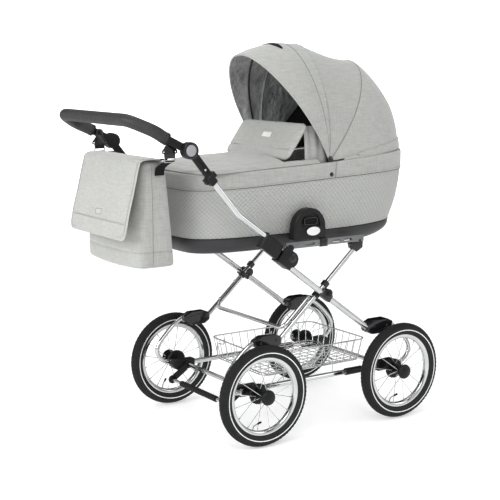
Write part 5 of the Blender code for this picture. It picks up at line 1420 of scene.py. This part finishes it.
def apron():
    length = APRON_HEAD_X - APRON_FOOT_X
    wing_length = WING_END_X - APRON_HEAD_X + WING_LAP
    columns, lines = 72, 84
    top, low = [], []
    for j in range(lines + 1):
        share = (j / lines) ** 1.15
        x = APRON_FOOT_X + 0.0004 + share * (length - 0.0004)
        half = max(0.012, apron_half(x))
        upper, under = [], []
        for i in range(columns + 1):
            v = 2 * i / columns - 1
            y = half * math.copysign(abs(v) ** 0.9, v)
            d = min(half - abs(y), (x - APRON_FOOT_X) * 0.9, (APRON_HEAD_X - x) + 0.004)
            edge = math.sqrt(max(0.0, 1 - (1 - min(1.0, d / 0.010)) ** 2))
            cross = 1 - (y / APRON_HALF) ** 2
            swell = APRON_CROWN * cross * min(1.0, (x - APRON_FOOT_X) / 0.12) ** 0.8
            border = 0.0022 * math.exp(-((d - 0.030) / 0.0022) ** 2)
            z = rim_height(x) + 0.0012
            height = edge * (APRON_HEIGHT * 0.55 + swell) - border + crease((x, y, 0), 14, 0.0016) * edge
            upper.append((x, y, z + max(0.0, height)))
            under.append((x, y, z))
        top.append(upper)
        low.append(under)
    cover = outward(join(loft(top, False), loft(low, False)))
    cover = outward(join(cover, loft([top[-1], low[-1]], False)))
    modify(cover, "SUBSURF", levels=1, render_levels=1)
    stuffed(0.55, cover, "apron_cover", CLOTH, "cot", ["apron"], "quilted_cloth", angle=60)

    rim_path = []
    for i in range(121):
        t = i / 120
        side = 1 if t < 0.5 else -1
        u = abs(2 * t - 1)
        x = APRON_FOOT_X + (WING_END_X - 0.006 - APRON_FOOT_X) * u ** 1.8
        y = side * max(0.0, apron_half(x))
        if u < 0.001:
            y = 0.0
        rim_path.append((x + 0.002, y * 0.995, rim_height(x) + 0.0046))
    ordered = sorted(rim_path, key=lambda p: math.atan2(p[1], p[0] + 0.20))
    ordered = [p for p in ordered if p[0] < WING_END_X]
    split = max(range(len(ordered)), key=lambda k: (Vector(ordered[k]) - Vector(ordered[k - 1])).length)
    ordered = ordered[split:] + ordered[:split]
    piece(tube(curve_through(ordered, 3), 0.0034, 5), "apron_piping", CLOTH, "cot", angle=60)

    for side_name, side in SIDES.items():
        def place(x, y, h, side=side):
            px = APRON_HEAD_X - WING_LAP + y
            inner = between(0.158, 0.186, y / wing_length)
            py = (inner + APRON_HALF) / 2 + x / WING_WIDTH * (APRON_HALF - inner)
            return px, side * py, rim_height(px) + 0.0014 + h

        wing = pad(WING_WIDTH, wing_length, 0.010, 0.0135, place, 0.002, None, 14, 26, 0.010, 0.0)
        stuffed(0.5, wing, f"apron_wing_{side_name}", CLOTH, "cot", angle=60)


FLAP_LOW_X, FLAP_LOW_Z, FLAP_TOP_X, FLAP_TOP_Z = -0.1195, 0.9224, -0.035, 1.040
FLAP_HALF, FLAP_THICK = 0.191, 0.014


def flap():
    lean = math.atan2(FLAP_TOP_Z - FLAP_LOW_Z, FLAP_TOP_X - FLAP_LOW_X)
    length = math.hypot(FLAP_TOP_X - FLAP_LOW_X, FLAP_TOP_Z - FLAP_LOW_Z)
    seam = 0.26 * length

    def place(x, y, h):
        bow = 0.010 * (1 - (x / FLAP_HALF) ** 2) * math.sin(math.pi * y / length)
        out = FLAP_THICK / 2 + h - bow + crease((x, y, 0), 16, 0.0010)
        px = FLAP_LOW_X + y * math.cos(lean) - out * math.sin(lean)
        pz = FLAP_LOW_Z + y * math.sin(lean) + out * math.cos(lean)
        return px, x, pz

    def groove(x, y):
        line = math.exp(-((y - seam) / 0.0022) ** 2)
        near = FLAP_HALF - abs(x)
        return 0.0075 * line * (near > 0.004) + 0.0012 * math.exp(-((near - 0.012) / 0.002) ** 2)

    cover = pad(2 * FLAP_HALF, length, 0.026, FLAP_THICK * 1.25, place, 0.014, groove, 80, 52, 0.015)
    stuffed(0.6, cover, "flap_cover", CLOTH, "cot", ["apron_flap"], "quilted_cloth", angle=60)
    # The stitches along the flap's seam groove are coloured dark: real stitches with painted shade of the
    # groove.
    path = [place(-FLAP_HALF + 0.012 + (2 * FLAP_HALF - 0.024) * i / 40, seam, 0.0094) for i in range(41)]
    piece(stitches(path, radius=0.0006), "flap_stitches", SHADE, "cot")
    for side_name, side in reversed(SIDES.items()):
        edge = [place(x, y, 0.0) for x, y in (
            (-FLAP_HALF, length * 0.20), (-FLAP_HALF, length * 0.5), (-FLAP_HALF, length - 0.026),
            (-FLAP_HALF + 0.008, length - 0.008), (-FLAP_HALF + 0.026, length))]
        edge = curve_through([(x, -side * y, z) for x, y, z in edge], 6)
        piece(tube(edge, 0.0016, 4), f"flap_piping_{side_name}", CLOTH, "cot")

    def tag_place(x, y, h):
        return place(x - 0.004, length * 0.54 + y, 0.0156 + h)

    tag = pad(0.050, 0.019, 0.0015, 0.0014, tag_place, 0.0, None, 12, 8, 0.0012)
    piece(tag, "flap_tag", PALE_TAG, "cot")


# Hood

HOOD_X, HOOD_Z = 0.045, 0.918
HOOD_MIDDLE = (HOOD_X, 0, HOOD_Z)
HOOD_POWER, HOOD_HEM_POWER = 2.15, 3.7
REAR_HALF, MIDDLE_HALF, FRONT_HALF = 0.2050, 0.2032, 0.2015
HEM, SEAM_TWO, SEAM_ONE, HOOD_EDGE = 4.9, 50.0, 92.0, 123.0
CLOTH_THICK, LINING_DEPTH = 0.0007, 0.0022
BOW_LEAN, HOOD_FLARE = 6.0, 0.12
VENT_DEGREES = 105.6


def hood_power(degrees):
    return between(HOOD_HEM_POWER, HOOD_POWER, clipped((degrees - HEM) / (SEAM_TWO - HEM)) ** 0.7)


def even_power(degrees):
    return HOOD_POWER


def hood_point(degrees, share, radius, half, power=HOOD_POWER, out=0.0):
    """A point of the hood at a bow's angle and the share from one side to the other."""
    a = math.pi * (0.001 + 0.998 * share)
    c, s = superellipse(a, power)
    lean = BOW_LEAN * max(0.0, 1 - abs(degrees - SEAM_TWO) / (SEAM_ONE - SEAM_TWO)) * s * s
    angle = math.radians(degrees + lean)
    flare = 1 + HOOD_FLARE * clipped((degrees - SEAM_TWO) / (HOOD_EDGE - SEAM_TWO)) * 4 * s * (1 - s)
    r = (radius + out) * s
    return HOOD_X + r * math.cos(angle), (half * flare + out * abs(c)) * c, HOOD_Z + r * math.sin(angle)


def rear_radius(degrees):
    shrink = 0.022 * (max(0.0, 25 - degrees) / 20) ** 1.4
    tuck = 0.0022 * max(0.0, (degrees - 47) / 3) ** 2
    return 0.408 - shrink - tuck


def middle_radius(degrees):
    t = clipped((degrees - SEAM_TWO) / (SEAM_ONE - SEAM_TWO))
    return 0.3700 + between(0.0350, 0.0225, t) * (2 * t - 1) ** 2


def front_radius(degrees):
    return 0.3925 + 0.0320 * clipped((degrees - SEAM_ONE) / 31) ** 1.1


def hood_rows(low, high, radius, half, power, inwards, wrinkle, rows_count, columns=72):
    rows = []
    for i in range(rows_count + 1):
        degrees = between(low, high, i / rows_count)
        bow = radius(degrees), half, power(degrees)
        row = []
        for j in range(columns + 1):
            share = j / columns
            away = math.sqrt(max(0.0, math.sin(math.pi * share) * math.sin(math.pi * i / rows_count)))
            dent = wrinkle(*hood_point(degrees, share, *bow, -inwards)) * away
            row.append(hood_point(degrees, share, *bow, -inwards - dent))
        rows.append(row)
    return rows


def hood_panel(name, node, body, low, high, radius, half, power, rows_count, inside=LINING):
    """One panel: the melange cloth outside and a smooth creased lining inside."""
    def outer_dent(x, y, z):
        return 0.0006 + crease((x, y, z), 13, 0.0006)

    def lining_dent(x, y, z):
        return 0.0030 + crease((x * 2.2, y * 0.8, z * 2.2), 13, 0.0022)

    rows = hood_rows(low, high, radius, half, power, 0.0, outer_dent, rows_count)
    sewn(rows, HOOD_MIDDLE, CLOTH_THICK, name, body, nodes=[node])
    inner = hood_rows(low + 0.4, high - 0.4, radius, half - 0.0004, power, LINING_DEPTH, lining_dent,
                      rows_count)
    lining = edit(facing(loft(inner, False), HOOD_MIDDLE), (bpy.ops.mesh.flip_normals, {}))
    piece(lining, f"{name}_lining", inside, body, angle=60)


def bow_path(degrees, radius, half, out, power=HOOD_POWER, points=64, cut=0.0):
    shares = [between(cut, 1 - cut, j / points) for j in range(points + 1)]
    return [hood_point(degrees, share, radius, half, power, out) for share in shares]


def hood():
    hood_panel("hood_back_panel", "hood_rear", "cot", HEM, SEAM_TWO, rear_radius, REAR_HALF, hood_power, 26,
               BLACK_CLOTH)
    hood_panel("hood_top_panel", "hood_middle", "hood_middle", SEAM_TWO - 1.5, SEAM_ONE, middle_radius,
               MIDDLE_HALF, even_power, 26, PAINTED_SHADE_LINING)
    hood_panel("hood_visor_panel", "hood_front", "hood_front", SEAM_ONE - 1.5, HOOD_EDGE, front_radius,
               FRONT_HALF, even_power, 18)
    for place, body, degrees, radius, half, finish in (
            ("back", "cot", SEAM_TWO, rear_radius(SEAM_TWO), REAR_HALF, THREAD),
            ("top", "hood_middle", SEAM_ONE, middle_radius(SEAM_ONE), MIDDLE_HALF, CLOTH)):
        piece(tube(bow_path(degrees, radius, half, -0.0003), 0.0008, 3), f"hood_piping_{place}", finish, body)
        thread = stitches(bow_path(degrees - 1.0, radius + 0.0004, half, 0.0))
        piece(thread, f"hood_stitches_{place}", finish, body)

    # The bound front edge with its second layer, and the bows inside
    for name, degrees, depth, half, out, cut, thick, detail, finish in (
            ("hood_edge_binding", HOOD_EDGE, 0.0, FRONT_HALF, -0.0012, 0.0, 0.0030, 5, CLOTH),
            ("hood_visor_seam", 99.4, 0.0, FRONT_HALF - 0.0010, 0.0008, 0.02, 0.0009, 3, THREAD),
            ("hood_bow_front", 109.0, 0.0130, FRONT_HALF - 0.0060, 0.0, 0.0, 0.0036, 5, BLACK_CLOTH),
            ("hood_bow_back", 94.0, 0.0078, FRONT_HALF - 0.0060, 0.0, 0.0, 0.0036, 5, PAINTED_SHADE_LINING)):
        path = bow_path(degrees, front_radius(degrees) - depth, half, out, cut=cut)
        piece(tube(path, thick, detail), name, finish, "hood_front")
    bows = (99.6, 0.0006), (100.0, 0.0018), (108.0, 0.0019), (117.0, 0.0018), (122.6, 0.0016)
    rows = [bow_path(degrees, front_radius(degrees), FRONT_HALF - 0.0012, out, points=72, cut=0.03)
            for degrees, out in bows]
    sewn(rows, HOOD_MIDDLE, 0.0008, "hood_visor_layer", "hood_front",
         angle=50)
    hood_vent()
    hood_foot()
    for side_name, side in SIDES.items():
        curtain(side_name, side)
        pivot = turned([(0.0001, 0.0030), (0.0070, 0.0028), (0.0105, 0.0018), (0.0115, 0.0),
                        (0.0115, -0.0100), (0.0001, -0.0100)],
                       HOOD_X, side * 0.2052, HOOD_Z + 0.004, side, 36)
        piece(pivot, f"hood_pivot_{side_name}", GLOSS, "cot")


def hood_vent():
    """The oval vent on top."""
    rows = []
    for scale, lift in ((1.0, 0.0024), (0.96, 0.0034), (0.8, 0.0038), (0.5, 0.0040), (0.25, 0.0041),
                        (0.02, 0.0041)):
        row = []
        for m in range(48):
            t = 2 * math.pi * m / 48
            degrees = VENT_DEGREES + 1.9 * scale * math.sin(t)
            share = 0.5 + 0.100 * scale * math.cos(t)
            row.append(hood_point(degrees, share, front_radius(degrees), FRONT_HALF, HOOD_POWER, lift))
        rows.append(row)
    piece(loft(rows, capped=True), "hood_vent", WEBBING, "hood_front", angle=50)


def hood_foot():
    """The folded hem and the skirt that closes the gap to the rim."""
    rows = []
    for step, out in ((-0.9, 0.0002), (-0.8, 0.0030), (0.4, 0.0046), (3.2, 0.0042), (4.6, 0.0036),
                      (5.0, 0.0008)):
        near = HEM + max(step, 0.0)
        rows.append(bow_path(HEM + step, rear_radius(near), REAR_HALF, out, hood_power(near), 90, 0.04))
    sewn(rows, HOOD_MIDDLE, 0.0010, "hood_hem", "cot", 2)
    tops = bow_path(HEM + 2.4, rear_radius(HEM), REAR_HALF, -0.0030, hood_power(HEM), 90, 0.01)
    rows = []
    for i in range(7):
        t = i / 6
        row = []
        for j, top in enumerate(tops):
            c, s = superellipse(math.pi * (0.001 + 0.998 * between(0.01, 0.99, j / 90)), 3.4)
            x = HOOD_X + (COT_HEAD_X - 0.0015 - HOOD_X) * s
            p = Vector((x, (COT_HALF - 0.0015) * c, rim_height(x) + 0.0012)).lerp(Vector(top), t)
            swell = 0.0035 * math.sin(math.pi * t) + crease(p, 18, 0.0010)
            away = Vector((p.x - HOOD_X, p.y, 0)).normalized()
            row.append(p + away * swell * (0 < t < 1))
        rows.append(row)
    sewn(rows, (HOOD_X, 0, 0.9), 0.0008, "hood_skirt", "cot")


def curtain(side_name, side):
    """The pleated cloth inside the hood's side opening."""
    rows = []
    for i in range(15):
        t = i / 14
        row = []
        for j in range(61):
            x = HOOD_X - 0.094 + 0.204 * j / 60
            drop = 0.030 * max(0.0, j / 60 - 0.5) ** 2 * 4
            crease_shade_and_highlight = 0.0035 * math.sin(j * 0.62) * (0.35 + 0.65 * t)
            z = between(rim_height(x) - 0.010, HOOD_Z + 0.118 - drop, t)
            row.append((x, side * (0.1860 - 0.012 * t ** 3 + crease_shade_and_highlight), z))
        rows.append(row)
    sewn(rows, HOOD_MIDDLE, 0.0008, f"hood_curtain_{side_name}", "cot")


# Bag

BAG_TOP_Z, BAG_LOW_Z = 0.949, 0.612
BAG_TOP_REAR, BAG_TOP_FRONT, BAG_LOW_REAR, BAG_LOW_FRONT = -0.668, -0.572, -0.690, -0.540
BAG_HALF = 0.186
BAG_BAND_SHARE = 0.145
BAG_SEAM_SHARE = -0.30
BAG_CORNER_POWER = 5.5
FLAP_PATH = [(-0.598, 0.9500), (-0.640, 0.9535), (-0.665, 0.9520), (-0.679, 0.9440), (-0.688, 0.9150),
             (-0.706, 0.8450), (-0.725, 0.7750), (-0.741, 0.7060)]
BAG_FLAP_HALF = 0.194


def sack_ring(share, shrink=0.0, points=144):
    """The bag's outline at a share of its height, fuller near the bottom and drawn in at the top."""
    z = between(BAG_LOW_Z, BAG_TOP_Z, share)
    rear, front = between(BAG_LOW_REAR, BAG_TOP_REAR, share), between(BAG_LOW_FRONT, BAG_TOP_FRONT, share)
    belly = 0.006 * math.sin(math.pi * min(1.0, share * 1.4)) if share < 0.72 else 0.0
    row = []
    for i in range(points):
        a = 2 * math.pi * (i + 0.5) / points
        c, s = superellipse(a, BAG_CORNER_POWER)
        x = (rear + front) / 2 + ((front - rear) / 2 + belly * (c < 0) - shrink) * c
        y = (BAG_HALF - 0.010 * share ** 2 + belly * 0.3 - shrink) * s
        dip = 0.006 * math.exp(-((y / BAG_HALF) / 0.5) ** 2) * (1 - share) ** 6
        dent = crease((x, y, z), 11, 0.0024) * math.sin(math.pi * min(1.0, share * 1.05 + 0.02))
        row.append((x + dent * (abs(c) > 0.7), y + dent * 0.5 * (abs(s) > 0.7), z - dip))
    return row


def bag():
    levels = [(0.0, 0.030), (0.0, 0.012), (0.003, 0.005), (0.012, 0.0015), (0.03, 0), (0.07, 0), (0.11, 0),
              (BAG_BAND_SHARE - 0.006, 0), (BAG_BAND_SHARE, 0.0022), (BAG_BAND_SHARE + 0.006, 0)]
    levels += [(0.17 + 0.78 * i / 22, 0) for i in range(23)]
    levels += [(0.975, 0.0015), (0.992, 0.006), (1.0, 0.016), (1.0, 0.034)]
    sack = loft([sack_ring(share, shrink) for share, shrink in levels], capped=True)
    stuffed(0.5, sack, "bag_sack", CLOTH, "bag", ["bag"], "quilted_cloth", angle=60)
    for side_name, side in SIDES.items():
        path = []
        for i in range(25):
            share = 0.02 + 0.94 * i / 24
            rear = between(BAG_LOW_REAR, BAG_TOP_REAR, share)
            front = between(BAG_LOW_FRONT, BAG_TOP_FRONT, share)
            aim = (rear + front) / 2 + (front - rear) / 2 * BAG_SEAM_SHARE
            ring = [p for p in sack_ring(share) if p[1] * side > 0.10]
            near = min(ring, key=lambda p: abs(p[0] - aim))
            path.append((near[0], near[1] + side * 0.0004, near[2]))
        piece(tube(curve_through(path, 3), 0.0006, 3), f"bag_side_seam_{side_name}", THREAD, "bag")

    smooth_path = curve_through([(x, 0, z) for x, z in FLAP_PATH], 12)
    along = distances(smooth_path)
    total = along[-1]

    def on_path(distance):
        distance = min(max(distance, 0.0), total - 1e-6)
        index = max(i for i, d in enumerate(along) if d <= distance)
        index = min(index, len(smooth_path) - 2)
        a, b = smooth_path[index], smooth_path[index + 1]
        p = a.lerp(b, (distance - along[index]) / max(1e-9, along[index + 1] - along[index]))
        way = (b - a).normalized()
        return p, Vector((way.z, 0, -way.x))

    def place(x, y, h):
        p, out = on_path(y)
        curl = 0.010 * (abs(x) / BAG_FLAP_HALF) ** 3 * (y / total) ** 2
        swell = 0.004 * (1 - (x / BAG_FLAP_HALF) ** 2) * math.sin(math.pi * min(1.0, y / total))
        q = p + out * (h + 0.0005 + swell * 0.6 - curl * 0.4 + crease((x, y, 3), 11, 0.0014) * (y > 0.09))
        return q.x, x, q.z

    def groove(x, y):
        near = min(BAG_FLAP_HALF - abs(x), total - y)
        line = math.exp(-((near - 0.009) / 0.0013) ** 2) * (y > 0.05)
        low = math.exp(-((y - (total - 0.052)) / 0.0015) ** 2) * (BAG_FLAP_HALF - abs(x) > 0.012)
        return 0.0020 * line + 0.0022 * low

    cover = pad(2 * BAG_FLAP_HALF, total, 0.026, 0.0046, place, 0.0012, groove, 110, 96, 0.0040)
    stuffed(0.4, cover, "bag_flap_cover", CLOTH, "bag", ["bag_flap"], "quilted_cloth", angle=60)
    edge, corner = -BAG_FLAP_HALF + 0.0115, 0.0245
    border = [(edge, between(0.06, total - 0.036, i / 30)) for i in range(31)]
    for i in range(1, 9):
        a = math.radians(180 - 90 * i / 8)
        border.append((edge + corner * (1 + math.cos(a)), total - 0.036 + corner * math.sin(a)))
    border += [(-x, y) for x, y in reversed(border)]
    paths = [[place(x, y, 0.0026) for x, y in border],
             [place(x * 1.022, y + 0.0035 * (y > total - 0.06), 0.0026) for x, y in border]]
    reach = BAG_FLAP_HALF - 0.016
    for low in (0.0535, 0.0505):
        paths.append([place(between(-reach, reach, i / 50), total - low, 0.0027) for i in range(51)])
    piece(join(*[stitches(path) for path in paths]), "bag_flap_stitches", THREAD, "bag")

    def tag_place(x, y, h):
        return place(x, total - 0.082 + y, 0.0030 + h)

    piece(pad(0.036, 0.015, 0.002, 0.0014, tag_place, 0.0, None, 12, 8, 0.0012), "bag_tag", TAG, "bag")
    corners = [(-0.019, -0.001), (0.019, -0.001), (0.019, 0.016), (-0.019, 0.016)]
    border = tube([tag_place(x, y, 0.0) for x, y in corners], 0.0007, 3, closed=True)
    piece(border, "bag_tag_edge", THREAD, "bag")
    for side_name, side in SIDES.items():
        edge = tube([(-0.662, side * 0.1790, 0.9508), (-0.576, side * 0.1790, 0.9508)], 0.0028, 4)
        piece(edge, f"bag_top_edge_{side_name}", WEBBING, "bag")
        clip(side_name, side)


CLIP_TOP = 0.0150
CLIP_OUTLINE = [(0.0130, -0.012), (0.0255, -0.028), (0.0265, -0.036), (0.0185, -0.038), (0.0175, -0.052),
                (-0.0175, -0.052), (-0.0185, -0.038), (-0.0265, -0.036), (-0.0255, -0.028), (-0.0130, -0.012)]
CLIP_HOLES = [(0.0, 0.0, 0.0062), (0.0205, -0.0318, 0.0028), (-0.0205, -0.0318, 0.0028)]
STRAP_ROUTE = [(0.2392, -0.0600), (0.2330, -0.0640), (0.2080, -0.0740), (0.1915, -0.0840), (0.1880, -0.0930),
               (0.1880, -0.1080)]


def clip(side_name, side):
    """A black clip with a round hole on the arm's stud, a metal ring and the webbing sewn to the bag."""
    sx, sz = grip_point(0.064)
    y0, y1 = side * 0.2348, side * 0.2416
    outline = [(sx + CLIP_TOP * math.cos(math.radians(a)), sz + CLIP_TOP * math.sin(math.radians(a)))
               for a in range(180, -1, -15)]
    outline += [(sx + x, sz + z) for x, z in CLIP_OUTLINE]
    reach = min(y0, y1) - 0.01, max(y0, y1) + 0.01
    holes = [disc(sx + x, sz + z, *reach, radius) for x, z, radius in CLIP_HOLES]
    plate = round_edges(carve(prism(outline, y0, y1), *holes), 0.0012, 2)
    boss = turned([(0.0064, 0.0), (0.0064, 0.0022), (0.0074, 0.0030), (0.0104, 0.0030), (0.0116, 0.0018),
                   (0.0116, 0.0)], sx, side * 0.2412, sz, side, 40)
    piece(join(plate, boss), f"bag_clip_{side_name}", GLOSS, "bag")
    y = side * 0.2382
    ring = [(0.0, -0.0475), (0.0185, -0.0475), (0.0185, -0.0630), (-0.0185, -0.0630), (-0.0185, -0.0475),
            (0.0, -0.0475)]
    loop = rounded([(sx + x, y, sz + z) for x, z in ring], 0.004, 4)
    piece(tube(loop[:-1], 0.0017, 4, closed=True), f"bag_ring_{side_name}", CHROME, "bag")
    line = curve_through([(sx, side * py, sz + pz) for py, pz in STRAP_ROUTE], 6)
    rows = []
    for i, p in enumerate(line):
        shift = -0.008 * i / (len(line) - 1)
        rows.append([(p[0] + shift - 0.0165 + 0.033 * j / 8, p[1], p[2]) for j in range(9)])
    strap = facing(loft(rows, False), (sx, 0, sz - 0.2))
    piece(walled(strap, 0.0022), f"bag_webbing_{side_name}", WEBBING, "bag", angle=40)


cot_base()
cot_shell()
cot_band()
mattress()
for side_name, side in SIDES.items():
    bracket(side_name, side)
apron()
flap()
hood()
bag()
